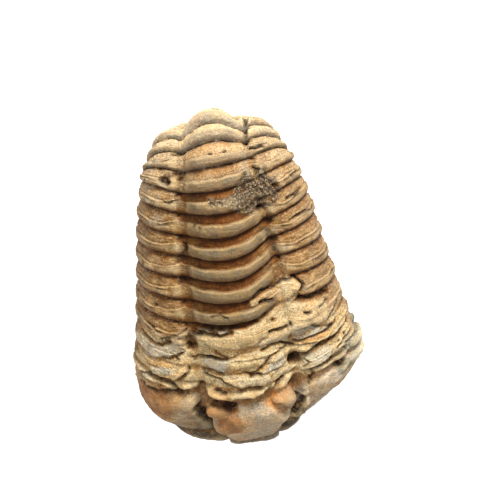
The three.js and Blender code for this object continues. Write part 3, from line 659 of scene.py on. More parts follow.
def tail_relief(station, away):
    """Rings of the tail shield, a lopsided wave over each; also the part 0..1 of each ring."""
    ring_count = (station + 1) * TAIL_RINGS
    part = ring_count - np.floor(ring_count)
    crest = (0.5 - 0.5 * np.cos(2 * math.pi * part ** 1.45)) ** 1.3
    fade = ease(-1, -0.6, station) * (1 - 0.4 * ease(0.5, 0.95, away))
    return TAIL_RELIEF * (2 * crest - 1) * fade + TAIL_LEVEL, part


def line_reading(plane, line):
    """Signed distance to a line on the rolled-out back, above zero on its tail side, and the
    share 0..1 along it, both from the nearest of its short straight bits."""
    knots = np.array(line, dtype=float)
    count = LINE_BITS * (len(knots) - 1) + 1
    at = np.linspace(0, len(knots) - 1, count)
    points = flat_map(*(np.interp(at, np.arange(len(knots)), knot) for knot in knots.T))
    near = np.full(plane.shape[:-1], FAR)
    signed = near.copy()
    share = np.zeros(plane.shape[:-1])
    for k in range(count - 1):
        step = points[k + 1] - points[k]
        from_start = plane - points[k]
        along = np.clip(from_start @ step / (step @ step), 0, 1)
        away = np.linalg.norm(from_start - along[..., None] * step, axis=-1)
        side = step[0] * from_start[..., 1] - step[1] * from_start[..., 0]
        closer = away < near
        near = np.where(closer, away, near)
        signed = np.where(closer, np.copysign(away, side), signed)
        share = np.where(closer, (k + along) / (count - 1), share)
    return signed, share


def near_line(plane, line, reach):
    """The vertices within reach of a line's box, so that only they are worked out."""
    points = flat_map(*np.array(line, dtype=float).T)
    low = points.min(axis=0) - reach - 1
    high = points.max(axis=0) + reach + 1
    return np.all((plane > low) & (plane < high), axis=-1)


def reach_of(points, centre_of, station, across, radius):
    """Distance from the point of a map or surface at this station and across, in radii."""
    centre = centre_of(np.array(float(station)), np.array(float(across)))
    return np.linalg.norm(points - centre, axis=-1) / radius


def inside_outline(plane, outline):
    """Distance to the nearest side of a closed outline, above zero inside: a point is inside
    where a ray toward greater place crosses an odd count of sides."""
    corners = flat_map(*np.array(outline, dtype=float).T)
    near = np.full(plane.shape[:-1], FAR)
    odd = np.zeros(plane.shape[:-1], bool)
    for start, end in zip(corners, np.roll(corners, -1, axis=0)):
        step = end - start
        from_start = plane - start
        along = np.clip(from_start @ step / (step @ step), 0, 1)
        near = np.minimum(near, np.linalg.norm(from_start - along[..., None] * step, axis=-1))
        between = (start[1] > plane[..., 1]) != (end[1] > plane[..., 1])
        crossing = start[0] + from_start[..., 1] * step[0] / (step[1] or TINY)
        odd ^= between & (plane[..., 0] < crossing)
    return np.where(odd, near, -near)


def spread_out(values, count, axis):
    """Moving average over 2 count + 1 neighbours along an axis, from a running sum."""
    pad = [(0, 0), (0, 0)]
    pad[axis] = (count + 1, count)
    sums = np.cumsum(np.pad(values, pad, mode="edge"), axis=axis)
    first = np.arange(values.shape[axis])
    size = 2 * count + 1
    return (np.take(sums, first + size, axis=axis) - np.take(sums, first, axis=axis)) / size


class Back:
    """One value per vertex of the back: where it lies, its height over the smooth back in mm,
    and shares 0..1 of what its surface shows. build() runs the steps in their order."""

    def __init__(self, station, across):
        """Where the vertices lie, the noises they share, and what covers each of them."""
        smooth = smooth_back(station, across)
        self.station = station
        self.across = across
        self.smooth = smooth
        self.plane = flat_map(station, across)
        self.place = self.plane[..., 0]
        self.away = np.abs(across)
        self.wobble = grain(smooth, 3.1, 3.1)
        self.patchy = 0.5 + 0.5 * grain(smooth, 4.0, 9.4)
        wander = [grain(smooth, 1.6, 1.7), grain(smooth, 1.6, 4.9)]
        sway = [rough(smooth, 3.0, 3, 6.6), rough(smooth, 3.0, 3, 3.9)]
        self.wander = WANDER * np.stack(wander, axis=-1)
        self.sway = WANDER * np.stack(sway, axis=-1)
        self.thorax = (station >= 0) & (station <= SEGMENTS)
        self.part = np.where(self.thorax, np.clip(station, 0, SEGMENTS - 1e-6) % 1, 0)
        self.edge, self.climb = segment_shape(station, across)
        winding = self.plane + 2 * (self.wander + self.sway)
        self.crystal = ease(-0.6, 0.3, inside_outline(winding, CRYSTAL_OUTLINE))
        self.cover = sheet_cover(station, across + 0.03 * self.wobble)
        self.torn_rings = window(*TORN_RINGS, station) * (1 - ease(*TORN_RINGS_OUT, self.away))
        self.torn = window(*TORN_FLAKES, station) * (1 - ease(*TORN_FLAKES_OUT, self.away))

    def inside_circles(self, circles, soft, sways=1):
        """1 inside any of the circles, easing to 0 over the soft share of their radius."""
        swayed = self.plane + sways * self.sway
        mask = np.zeros_like(self.away)
        for station, across, radius in circles:
            reach = reach_of(swayed, flat_map, station, across, radius)
            mask = np.maximum(mask, 1 - ease(1 - soft, 1 + soft / 2, reach))
        return mask

    def thorax_rings(self):
        """Rings with lines along them: a lip on the hind edge, a crease at both furrows, and on
        the flank a second lip before that edge and a slit behind it. The torn band, the crystals
        and the sheet of matrix level them."""
        part, edge, away, patchy = self.part, self.edge, self.away, self.patchy
        tip = ease(*TIP_OUT, away)
        lip = bell(part, edge + 0.025, 0.02) * (1 - 0.9 * tip)
        crease = bell(part, 0, 0.07) + bell(part, 1, 0.07)
        second = bell(part, edge - 0.11, 0.035) * (ease(0.5, 0.6, away) * ease(0.2, 0.6, patchy))
        slit = bell(part, edge + 0.12, 0.035) * ease(0.45, 0.55, away) * ease(0.35, 0.7, patchy)
        rings = ring_relief(self.across) * (1 - 0.45 * tip) * segment_profile(part, edge, self.climb)
        rings = rings + LIP_RISE * lip + SECOND_LIP_RISE * second - SLIT_DEPTH * slit * (1 - tip)
        rings = rings - CREASE_DEPTH * crease * ease(0.1, 0.6, patchy)
        rings = rings + (TORN_LEVEL - rings) * TORN_LEVELLING * self.torn_rings
        rings = rings + (TORN_LEVEL - rings) * CRYSTAL_LEVELLING * self.crystal
        rings = rings + (MATRIX_SHEET_LEVEL - rings) * SHEET_LEVELLING * self.cover
        fill = (MATRIX_SHEET_FILL + axial_furrow(self.station, self.across)) * self.cover
        broken = 0.3 + 0.7 * ease(0.1, 0.5, 0.5 + 0.5 * grain(self.smooth, 5.5, 2.9))
        whole = 1 - 0.9 * window(*LIPLESS, self.station)
        # Lips later give pale painted highlight, creases and slits dark painted shading.
        self.lip = lip * (1 - self.crystal) * broken * whole
        self.crease = crease * (1 - 0.7 * self.torn_rings)
        self.second = second
        self.slit = slit
        return rings + fill * bell(self.across, 0.45, 0.09)

    def lay_height(self):
        """Tail, thorax and head; spots swell as (1 - r^2)^2 and lobes as half balls; slow noise
        and waves, flakes in the torn band and thin layers lie over them."""
        station, across, smooth = self.station, self.across, self.smooth
        tail, self.tail_part = tail_relief(station, self.away)
        rings = self.thorax_rings()
        height = np.where(self.thorax, rings, head_relief(station, across))
        height = np.where(station < 0, tail, height)
        height = height - axial_furrow(station, across) * (1 - 0.9 * self.crystal)
        for at, side, radius, rise in SPOTS:
            reach = np.clip(reach_of(smooth, smooth_back, at, side, radius), 0, 1)
            height = height + rise * (1 - reach * reach) ** 2
        on_axis = 1 - ease(0.34, 0.42, self.away)
        height = height + AXIS_UNEVENNESS * rough(smooth, 7.5, 2, 5.3) * on_axis
        height = height + SWELL_RISE * swell(*np.moveaxis(smooth, -1, 0))
        lobes = np.zeros_like(height)
        for at, side, radius, rise in GLABELLA_LOBES:
            reach = reach_of(smooth, smooth_back, at, side, radius)
            lobes = np.maximum(lobes, rise * np.sqrt(np.clip(1 - reach ** 2, 0, 1)))
        flake_height, self.flake_edge = self.flakes()
        height = height + lobes + self.torn * (FLAKE_RISE * flake_height - FLAKE_BED)
        layers = np.stack([station * WEAVE_ROW, self.plane[..., 1] / 6, 0 * station], axis=-1)
        layer_rise = AXIS_LAYERS + FLANK_LAYERS * ease(0.4, 0.5, self.away)
        self.height = height + layer_rise * rough(layers, 0.9, 2, 5.5)

    def flakes(self):
        """Overlapping flakes: a saw-tooth of a field that falls toward the head and wanders with
        noise; each rises gently and ends in a sharp edge. Gives height share and edge mask."""
        where = np.stack([self.place, self.plane[..., 1], self.smooth[..., 2]], axis=-1)
        field = FLAKE_WANDER * rough(where / FLAKE_SIZE, 1.6, 4, 5.2) - FLAKES_PER_MM * self.place
        part = field - np.floor(field)
        fall = 1 - (part - FLAKE_START) / (1 - FLAKE_START)
        height = np.where(part < FLAKE_START, ease(0, FLAKE_START, part), fall)
        return height, bell(part, 0.02, 0.07) + bell(part, 1.02, 0.05)

    def mark_lines(self):
        """First dark lines of painted shading in the creases, slits, flake edges and axial furrows, and
        pale lines of painted highlight on the ring lips with the creamy torn band; then grey and rust,
        before the plates and cracks.
        """
        torn, cover = self.torn, self.cover
        dark = np.where(self.thorax, self.crease * (1 - 0.8 * cover), 0.0)
        dark = np.maximum(dark, self.slit * self.thorax)
        dark = np.maximum(dark, 0.12 * torn * np.clip(self.flake_edge, 0, 1))
        beside_axis = 0.12 * bell(self.away, 0.437, 0.018) * self.thorax * (1 - cover)
        lips = np.maximum(0.75 * self.lip, 0.8 * self.second) * (1 - cover)
        self.dark = np.maximum(dark, beside_axis)
        self.pale = np.maximum(np.where(self.thorax, lips, 0.0), 0.45 * torn)
        self.grey = 0.35 * torn + 0.3 * cover
        rust = (0.2 * torn + 0.5 * cover) * ease(0.4, 0.7, self.patchy)
        self.rust = np.maximum(rust, 0.8 * self.inside_circles(RUST_CIRCLES, 0.4))

    def dig_furrow_pits(self):
        """Pits where the furrows of the segments cross the axial furrows, longer across, darkened with
        painted shading.
        """
        for n in range(SEGMENTS):
            for side in (-1, 1):
                if side > 0 and n in PITLESS_RIGHT:
                    continue
                size = 0.75 + 0.3 * math.sin(5.1 * n + 2 * side)
                centre = flat_map(np.array(n + 0.1), np.array(side * PIT_ACROSS))
                reach = np.linalg.norm((self.plane - centre) / (1, 1.5), axis=-1) / size
                self.dig(PIT_DEPTH, np.exp(-reach ** 4))

    def dig(self, depth, hole, near=...):
        """Lower the vertices near the hole by its share of the depth, and darken them with painted
        shading.
        """
        self.height[near] -= depth * hole
        self.dark[near] = np.maximum(self.dark[near], hole)

    def lay_plates(self):
        """Slabs with a steep torn edge, a pale line of painted highlight inside it and a painted shadow
        line on the head side; creamy plates are paler in their own colour.
        """
        dark, pale, grey, rust = self.dark, self.pale, self.grey, self.rust
        for rise, greyness, hue, outline in PLATES:
            near = near_line(self.plane, outline, 2)
            swayed = self.plane[near] + self.sway[near]
            signed = inside_outline(swayed, outline)
            inside = ease(-0.1, PLATE_EDGE, signed)
            behind = inside_outline(swayed - (PLATE_SHADOW, 0), outline)
            shadow = ease(-0.15, 0.2, behind) * (1 - inside)
            self.height[near] += rise * inside - PLATE_GROOVE * shadow
            dark[near] = np.maximum(dark[near] * (1 - inside), 0.42 * shadow)
            # A pale line of painted highlight just inside the edge, plus the creamy plates' own colour.
            highlight_and_cream = 0.35 * bell(signed, 0.3, 0.2) + max(-hue, 0) * inside
            pale[near] = np.maximum(pale[near] * (1 - inside), highlight_and_cream)
            grey[near] += (greyness - grey[near]) * inside
            rust[near] += (max(hue, 0) - rust[near]) * inside

    def raise_ledges(self):
        """Ledges stand up on one side of their line and slope off, with a pale painted highlight along
        the raised side and a painted shadow at the foot of the step.
        """
        for rise, reach, side, line in LEDGES:
            near = near_line(self.plane, line, 4 * reach)
            signed, share = line_reading(self.plane[near] + self.wander[near], line)
            signed = side * signed
            ends = ease(0, 0.12, share) * (1 - ease(0.88, 1, share))
            step = ease(-LEDGE_SOFTNESS, LEDGE_SOFTNESS, signed)
            step = step * np.exp(-np.maximum(signed, 0) / reach)
            self.height[near] += rise * ends * step
            self.pale[near] = np.maximum(self.pale[near], ends * bell(signed, 0.5, 0.4))
            self.dark[near] = np.maximum(self.dark[near], ends * bell(signed, -0.5, 0.45))

    def carve_cracks(self):
        """Grooves with steep walls, darkened with painted shading, and a pale rim of painted highlight
        on their tail side.
        """
        for width, depth, line in CRACKS:
            near = near_line(self.plane, line, 4 * width)
            signed, share = line_reading(self.plane[near] + self.wander[near], line)
            ends = ease(0, 0.08, share) * (1 - ease(0.92, 1, share))
            self.dig(depth, ends * np.exp(-(signed / width) ** 4), near)
            rim = bell(signed, 1.5 * width, 0.5 * width)
            self.pale[near] = np.maximum(self.pale[near], 0.5 * ends * rim)

    def dig_holes(self):
        """Round holes with steep walls: depth times a flattened bell of the distance, darkened with
        painted shading.
        """
        for station, across, radius, depth in HOLES:
            reach = reach_of(self.plane + self.wander, flat_map, station, across, radius)
            self.dig(depth, np.exp(-reach ** 4))

    def grow_stone(self):
        """Crystals, rubble and rock; painted shading toward the front of the head and in hollows beside
        the glabella, with a dark stain by the right axial furrow; matrix on the sheet and the band.
        """
        smooth, wobble = self.smooth, self.wobble
        near = self.crystal > 0.01
        lumps = np.zeros_like(self.height)
        grown = smooth[near]
        lumps[near] = 1 - 1.4 * cells(grown, CRYSTAL_SIZE) + 0.5 * rough(grown, 2.2, 3, 8.1)
        height = self.height + self.crystal * (CRYSTAL_RISE * lumps - CRYSTAL_BED)
        rubble = self.inside_circles(RUBBLE_CIRCLES, 0.4)
        height = height + rubble * (RUBBLE_RISE + 0.5 * rough(smooth, 1.4, 3, 4.4))
        self.rock = self.inside_circles(ROCK_CIRCLES, 0.2)
        self.height = height + self.rock * (0.6 * rough(smooth, 2.6, 4, 7.7) + ROCK_RISE)
        shade_and_stain = self.inside_circles(SHADE_AND_STAIN_CIRCLES, 0.6)
        # Painted shading toward the front of the head, stronger on its left.
        shade_and_stain = np.maximum(shade_and_stain, ease(103, 112, self.place + 2 * wobble))
        left_shade = 0.45 * ease(94, 106, self.place + 3 * wobble) * (self.across < 0.35)
        self.shade_and_stain = np.maximum(shade_and_stain, left_shade)
        sheet = 0.65 * ease(0.35, 0.65, self.cover + 0.25 * wobble)
        sandy = np.maximum(ease(0.1, 0.5, self.patchy), bell(self.across, 0.05, 0.3))
        self.matrix = np.maximum(sheet, self.torn * (0.6 + 0.4 * sandy))

    def roughen(self):
        """Chips and grain of three sizes; afterwards the mean height around each vertex."""
        smooth = self.smooth
        chips = ease(0.34, 0.42, rough(smooth, 4.5, 4, 2.2)) * (self.station < SEGMENTS)
        height = self.height - CHIP_DEPTH * chips
        height = height + FINE_GRAIN * rough(smooth, 1.1, 3, 6.1)
        height = height + COARSE_GRAIN * rough(smooth, 5, 2)
        self.height = height + MATRIX_GRAIN * self.matrix * rough(smooth, 2.4, 4, 3.3)
        around = spread_out(spread_out(self.height, 9, 0), 5, 1)
        self.around = spread_out(spread_out(around, 5, 0), 3, 1)

    def tones(self):
        """Bands and tones of the segments. Paler toward the tail and lower right: painted light, partly
        a paler shell.
        The deep mask is painted shadow that each ring casts into the half ring on its head side, toward
        the head, partly brown stain; the slope mask is each ring's head-facing fall, for painted
        shading.
        """
        part, edge, away, wobble = self.part, self.edge, self.away, self.wobble
        bare = 1 - self.crystal
        open_shell = 1 - np.maximum(self.torn_rings, self.cover)
        half_ring = ease(0.08, 0.2, part) * (1 - ease(edge - 0.12, edge - 0.02, part))
        ring = ease(edge + 0.06, edge + 0.14, part) * (1 - ease(0.74, 0.96, part))
        ring = ring * self.thorax * bare * (1 - 0.6 * bell(away, 0.38, 0.08)) * open_shell
        tail_ring = (self.station < 0) * bell(self.tail_part, 0.76, 0.13)
        # Painted light: paler toward the tail, which faces the key light, and on the lower right, where
        # the light falls more; partly a paler shell toward the tail.
        right = ease(-2, 14, self.smooth[..., 0])
        fresh = 1 - ease(12, 48, self.place) * (1 - 0.1 * right)
        fresh = fresh + 0.3 * right * ease(62, 84, self.place) + 0.15 * wobble
        # Painted shadow cast by each ring into the half ring on its head side, toward the head and less
        # on the right where light falls; partly brown stain.
        deep = (1 - ease(0.45, 0.7, self.climb)) * (1 - ease(edge - 0.05, edge + 0.01, part))
        deep = deep * self.thorax * open_shell * (1 - 0.5 * ease(0.1, 0.38, self.across))
        # Each ring's head-facing fall, for painted shading.
        start = 0.68 - (0.14 + 0.06 * wobble) * (1 - ease(0.36, 0.42, away))
        slope = ease(start, start + 0.2, part) * self.thorax
        return {
            "ring": np.maximum(ring, tail_ring),
            "half_ring": half_ring * self.thorax * bare,
            "fresh": np.clip(fresh, 0, 1),
            "deep": deep * (1 - 0.25 * part / edge) * bare,
            "slope": slope * (1 - self.cover) * (1 - self.torn_rings) * bare,
            "flank": ease(0.4, 0.5, away),
        }

    def build(self):
        """Work out the height, and give the masks by name."""
        self.lay_height()
        self.mark_lines()
        self.dig_furrow_pits()
        self.lay_plates()
        self.raise_ledges()
        self.carve_cracks()
        self.dig_holes()
        self.grow_stone()
        self.roughen()
        chalk = 0.9 * self.inside_circles(CHALK_CIRCLES, 0.5, 3)
        return self.tones() | {
            "pale": np.clip(self.pale, 0, 1),
            "dark": np.clip(self.dark, 0, 1),
            "matrix": self.matrix,
            "crystal": self.crystal,
            "head": ease(*HEAD_STATIONS, self.station),
            "grey": np.maximum(self.grey, chalk),
            "rust": self.rust,
            "rock": self.rock,
            "shade_and_stain": self.shade_and_stain,
            # Hollow: below the mean height around, for painted shading; rim: above it, for painted
            # highlight.
            "hollow": ease(0.1, 1.0, self.around - self.height),
            "rim": ease(0.15, 0.8, self.height - self.around),
        }


def list_marks():
    """Rows: close at the hind edges of the thorax; in the end caps even along the quarter circles."""
    turn = np.linspace(0, math.pi / 2, CAP_ROWS + 1)
    cap = END_ROUNDING * (1 - np.cos(turn))
    tail = np.linspace(END_ROUNDING, FURROW_PLACE[0], TAIL_ROWS - CAP_ROWS)[1:-1]
    thorax = (np.arange(SEGMENTS)[:, None] + np.array(SEGMENT_STOPS) / 2).ravel()
    head = np.linspace(FURROW_PLACE[-1], BACK_LENGTH - END_ROUNDING, HEAD_ROWS - CAP_ROWS)[1:-1]
    head = np.concatenate([head, BACK_LENGTH - cap[::-1]])
    head = SEGMENTS + (head - FURROW_PLACE[-1]) / (BACK_LENGTH - FURROW_PLACE[-1])
    tail = np.concatenate([cap, tail]) / FURROW_PLACE[0] - 1
    return np.concatenate([tail, thorax, [SEGMENTS], head])


def station_of(mark, across):
    """Rows of the thorax bend so that the middle of each segment's marks runs along its edge."""
    segment = np.clip(np.floor(mark), 0, SEGMENTS - 1)
    stop = 2 * (mark - segment)
    edge = segment_shape(segment, across)[0]
    bent = segment + np.where(stop < 1, stop * edge, edge + (stop - 1) * (1 - edge))
    return np.where((mark < 0) | (mark >= SEGMENTS), mark, bent)


def list_across():
    """Columns of the back, FLANK_CLOSENESS times closer on the flanks than on the axis."""
    whole = FURROW_ACROSS + FLANK_CLOSENESS * (1 - FURROW_ACROSS)
    at = np.linspace(-whole, whole, BACK_COLUMNS + 1)
    flank = FURROW_ACROSS + (np.abs(at) - FURROW_ACROSS) / FLANK_CLOSENESS
    return np.where(np.abs(at) <= FURROW_ACROSS, at, np.sign(at) * flank)


def belly_points(place, share, edges, smooth_edges, tips):
    """Arc from the right to the left edge: cosine in x, powers of it in y and z, over a floor
    line that bulges down between the tail tip and the head tip."""
    turn = np.cos(math.pi * share)[None, :, None]
    part = np.abs(turn)
    edge = np.where(turn > 0, edges[:, 0, None], edges[:, 1, None])
    smooth_edge = np.where(turn > 0, smooth_edges[:, 0, None], smooth_edges[:, 1, None])
    edge = smooth_edge + (edge - smooth_edge) * part ** 24
    along = (place / BACK_LENGTH)[:, None]
    part = part[..., 0]
    tail_tip, head_tip = tips
    middle_x = head_tip[0] * ease(0.75, 1, along)
    middle_y = tail_tip[1] + (head_tip[1] - tail_tip[1]) * along
    end_line = tail_tip[2] + (head_tip[2] - tail_tip[2]) * along
    fill = 1 - (1 - np.clip(4.2 * along * (1 - along), 0, 1)) ** 2
    middle_z = end_line + (BASE_LEVEL - BELLY_BULGE - end_line) * fill
    lump = BELLY_LUMP_HEIGHT * fill * (1 - part ** 6)
    x = middle_x + (edge[..., 0] - middle_x) * part
    y = middle_y + (edge[..., 1] - middle_y) * part ** 1.6
    z = middle_z + (edge[..., 2] - middle_z) * part ** BELLY_SQUARENESS
    return np.stack([x, y, z + lump * swell(x * 1.2, y * 1.2, z)], axis=-1)


def fossil_surface():
    """Closed grid of rows along the body and columns around it, with its masks."""
    mark, across = np.meshgrid(list_marks(), list_across(), indexing="ij")
    station = station_of(mark, across)
    stations = station[:, 0]
    shell = Back(station, across)
    masks = shell.build()
    smooth, plane = shell.smooth, shell.plane
    close = end_factor(place_of(station, across))
    back = smooth + back_normal(station, across) * (shell.height * close * close)[..., None]

    place = read_stations(FURROW_PLACE, 0, BACK_LENGTH, stations)
    share = np.arange(1, BELLY_COLUMNS) / BELLY_COLUMNS
    tips = smooth[0, 0], smooth[-1, 0]
    belly = belly_points(place, share, back[:, [-1, 0]], smooth[:, [-1, 0]], tips)
    loop = np.concatenate([back, belly], axis=1)
    along = np.gradient(loop, axis=0)
    around = (np.roll(loop, -1, axis=1) - np.roll(loop, 1, axis=1)) / 2
    normal = unit(np.cross(along, around))[:, BACK_COLUMNS + 1:]
    inner = np.sin(math.pi * share)[None, :] * end_factor(place)[:, None]
    stone = 0.9 * rough(belly, 8, 5, 2.6) + 0.35 * rough(belly, 2, 3, 4.6)
    belly = belly + normal * (inner * stone)[..., None]

    points = np.concatenate([back, belly], axis=1)
    points[..., 2] = np.maximum(points[..., 2] - BASE_LEVEL, 0)
    points[..., :2] -= BOX_MIDDLE
    masks = {name: np.pad(mask, ((0, 0), (0, BELLY_COLUMNS - 1))) for name, mask in masks.items()}
    masks["belly"] = np.concatenate([np.zeros_like(across), np.minimum(1, 6 * inner)], axis=1)
    masks["row"] = np.repeat(stations[:, None], points.shape[1], axis=1) * WEAVE_ROW * MM
    right, left = plane[:, -1:, 1], plane[:, :1, 1]
    sides = np.concatenate([plane[..., 1], right + (left - right) * share], axis=1)
    masks["side"] = sides * MM / WEAVE_SIDE
    return points, masks


def add_object(name, data):
    """An object with this data, at the origin of the scene."""
    thing = bpy.data.objects.new(name, data)
    bpy.context.scene.collection.objects.link(thing)
    return thing


def grid_mesh(name, points, masks):
    """Quads between neighbouring rows and columns, closed around; both ends run to a point."""
    rows, columns = points.shape[:2]
    inner = np.arange((rows - 2) * columns).reshape(rows - 2, columns) + 1
    right = np.roll(inner, -1, axis=1)
    quads = np.stack([inner[:-1], inner[1:], right[1:], right[:-1]], axis=-1).reshape(-1, 4)
    last = (rows - 2) * columns + 1
    first_fan = np.stack([np.zeros(columns, int), inner[0], right[0]], axis=-1)
    last_fan = np.stack([np.full(columns, last), right[-1], inner[-1]], axis=-1)
    vertices = np.concatenate([points[:1, 0], points[1:-1].reshape(-1, 3), points[-1:, 0]]) * MM
    faces = quads.tolist() + first_fan.tolist() + last_fan.tolist()
    mesh = bpy.data.meshes.new(name)
    mesh.from_pydata(vertices.tolist(), [], faces)
    mesh.polygons.foreach_set("use_smooth", np.ones(len(faces), bool))
    for attribute, names in MASK_GROUPS.items():
        layer = mesh.attributes.new(attribute, "FLOAT_COLOR", "POINT")
        values = np.stack([masks[n] for n in names], axis=-1)
        flat = np.concatenate([values[:1, 0], values[1:-1].reshape(-1, 4), values[-1:, 0]])
        layer.data.foreach_set("color", flat.ravel().astype(np.float32))
    mesh.validate()
    return add_object(name, mesh)


# ---- materials ----
# Noises of the finishes: size in mm, detail, roughness, and the span low..high that becomes 0..1.
GRAINS = {
    "patches": (3.2, 4, 0.55, 0.35, 0.65),
    "blotches": (5, 5, 0.62, 0.46, 0.56),
    "fine grain": (0.9, 5, 0.65, 0.35, 0.65),
    "specks": (0.32, 3, 0.6, 0.3, 0.7),
    "layers": (0.45, 4, 0.6, 0.36, 0.64),
    "rust": (4.2, 5, 0.65, 0.55, 0.66),
    "dome patches": (7, 3, 0.6, 0.44, 0.56),
    "head pit shading": (0.8, 5, 0.8, 0.46, 0.6),
    "painted head glints": (1.1, 5, 0.8, 0.52, 0.64),
    "chalk": (1.3, 4, 0.7, 0.34, 0.54),
    "chalk pits": (0.7, 4, 0.7, 0.58, 0.63),
    "white sand": (0.8, 5, 0.75, 0.46, 0.58),
    "ochre sand": (2.2, 5, 0.65, 0.47, 0.58),
    "sand flecks": (1, 5, 0.75, 0.52, 0.62),
    "crumbs": (0.45, 4, 0.8, 0.6, 0.66),
    "crumbly relief": (0.7, 5, 0.75, 0.35, 0.65),
    "crystals": (0.5, 3, 0.7, 0.4, 0.6),
    "ochre stains": (2.2, 5, 0.65, 0.54, 0.64),
    "lilac stains": (2.9, 5, 0.65, 0.56, 0.66),
    "grit": (0.38, 3, 0.8, 0.34, 0.66),
    "hairline cracks": (3.6, 6, 0.6, 0, 1),
    "crack stretches": (6, 2, 0.5, 0.5, 0.6),
    "floor": (60, 2, 0.55, 0.35, 0.65),
}


def paint(code):
    """Linear colour from a six-digit display colour."""
    parts = [int(code[k:k + 2], 16) / 255 for k in (0, 2, 4)]
    return [p / 12.92 if p < 0.04045 else ((p + 0.055) / 1.055) ** 2.4 for p in parts] + [1.0]


class Paints:
    """Small builder of shader nodes in one material. A colour is given by its six digits."""

    def __init__(self, name):
        """A new material with its shader, and the object coordinates."""
        self.material = bpy.data.materials.new(name)
        self.material.use_nodes = True
        self.tree = self.material.node_tree
        self.shader = self.tree.nodes["Principled BSDF"]
        self.place = self.add("ShaderNodeTexCoord").outputs["Object"]

    def add(self, kind, **settings):
        """A new node with these settings."""
        node = self.tree.nodes.new(kind)
        for key, value in settings.items():
            setattr(node, key, value)
        return node

    def feed(self, socket, value):
        """Link a socket to another, or set it to a number or a colour."""
        if isinstance(value, bpy.types.NodeSocket):
            self.tree.links.new(value, socket)
        else:
            socket.default_value = paint(value) if isinstance(value, str) else value

    def noise(self, name, where=None):
        """The named noise, on object coordinates where nothing else is given."""
        size, detail, roughness, low, high = GRAINS[name]
        node = self.add("ShaderNodeTexNoise")
        self.feed(node.inputs["Vector"], where or self.place)
        node.inputs["Scale"].default_value = 1 / (size * MM)
        node.inputs["Detail"].default_value = detail
        node.inputs["Roughness"].default_value = roughness
        return self.spread(node.outputs["Fac"], low, high)

    def spread(self, value, low, high, start=0.0, end=1.0):
        """Smooth step that carries low..high to start..end."""
        node = self.add("ShaderNodeMapRange", interpolation_type="SMOOTHSTEP")
        self.feed(node.inputs["Value"], value)
        for key, number in (("From Min", low), ("From Max", high), ("To Min", start), ("To Max", end)):
            node.inputs[key].default_value = number
        return node.outputs["Result"]

    def maths(self, kind, first, second):
        """One sum on two numbers."""
        node = self.add("ShaderNodeMath", operation=kind)
        self.feed(node.inputs[0], first)
        self.feed(node.inputs[1], second)
        return node.outputs[0]

    def times(self, first, second):
        """Their product."""
        return self.maths("MULTIPLY", first, second)

    def larger(self, first, second):
        """The larger of the two."""
        return self.maths("MAXIMUM", first, second)

    def mix(self, share, first, second, kind="MIX"):
        """The first colour under this share of the second."""
        node = self.add("ShaderNodeMix", data_type="RGBA", blend_type=kind)
        self.feed(node.inputs[0], share)
        self.feed(node.inputs[6], first)
        self.feed(node.inputs[7], second)
        return node.outputs[2]


class StonePaints(Paints):
    """The masks of the fossil's surface by their names, and the grains its finishes share."""

    def __init__(self):
        """Each mask is one channel of its group's attribute."""
        super().__init__("fossil_stone")
        for attribute, names in MASK_GROUPS.items():
            node = self.add("ShaderNodeAttribute", attribute_type="GEOMETRY", attribute_name=attribute)
            split = self.add("ShaderNodeSeparateColor")
            self.feed(split.inputs[0], node.outputs["Color"])
            for name, value in zip(names, [*split.outputs, node.outputs["Alpha"]]):
                setattr(self, name, value)
        self.patch = self.noise("patches")
        self.blotch = self.noise("blotches")
        self.fine = self.noise("fine grain")
        self.speck = self.noise("specks")

    def patched(self, first, second):
        """Two tones in patches."""
        return self.mix(self.patch, first, second)

    def by_age_and_light(self, old_and_dim, fresh):
        """One tone where the shell lies darker, another where it is paler toward the tail and lower
        right, as painted light partly over a paler shell; a pair comes in patches.
        """
        tones = (self.patched(*t) if isinstance(t, tuple) else t for t in (old_and_dim, fresh))
        return self.mix(self.fresh, *tones)

    def layers(self):
        """Grain drawn out along the segments, as of thin layers."""
        flat = self.add("ShaderNodeCombineXYZ")
        self.feed(flat.inputs["X"], self.row)
        self.feed(flat.inputs["Y"], self.side)
        return self.noise("layers", flat.outputs["Vector"])


def shell_tone(p):
    """Grey rings over brown or orange half rings, with rust in patches. Painted shading darkens each
    ring's head-facing fall, and deep brown painted shadow, partly stain, lies before the rings near the
    head.
    Every tone is paler toward the tail and lower right: painted light, partly a paler shell."""
    body = p.by_age_and_light(("6a4721", "7d5529"), ("c8b08d", "d3c0a0"))
    grey = p.by_age_and_light(("645c4e", "6f5e40"), ("8a8679", "a39b88"))
    ochre = p.by_age_and_light("8a6b3b", "c8a974")
    grey = p.mix(p.spread(p.blotch, 0, 1, 0.15, 1.0), ochre, grey)
    axis_grey = p.maths("SUBTRACT", p.ring, p.times(p.flank, 0.4))
    grey_toward_tail = p.times(p.times(p.ring, p.fresh), p.spread(p.flank, 0, 1, 0.8, 0.45))
    body = p.mix(p.larger(axis_grey, grey_toward_tail), body, grey)
    # Painted shading on each ring's head-facing fall: dark brown, greyer toward the tail.
    slope = p.by_age_and_light(("5f3b17", "74501f"), ("8d8776", "a08c68"))
    body = p.mix(p.times(p.slope, 0.75), body, slope)
    orange = p.by_age_and_light(("7b552b", "8d6939"), ("e0c497", "cda97b"))
    body = p.mix(p.times(p.half_ring, p.spread(p.flank, 0, 1, 0.8, 0.5)), body, orange)
    # Deep brown painted shadow cast into the half rings near the head, partly stain.
    body = p.mix(p.times(p.deep, 0.92), body, p.patched("502d0e", "70491c"))
    rusty = p.noise("rust")
    return p.mix(p.times(rusty, 0.6), body, p.by_age_and_light("8c6533", "c0935a"))


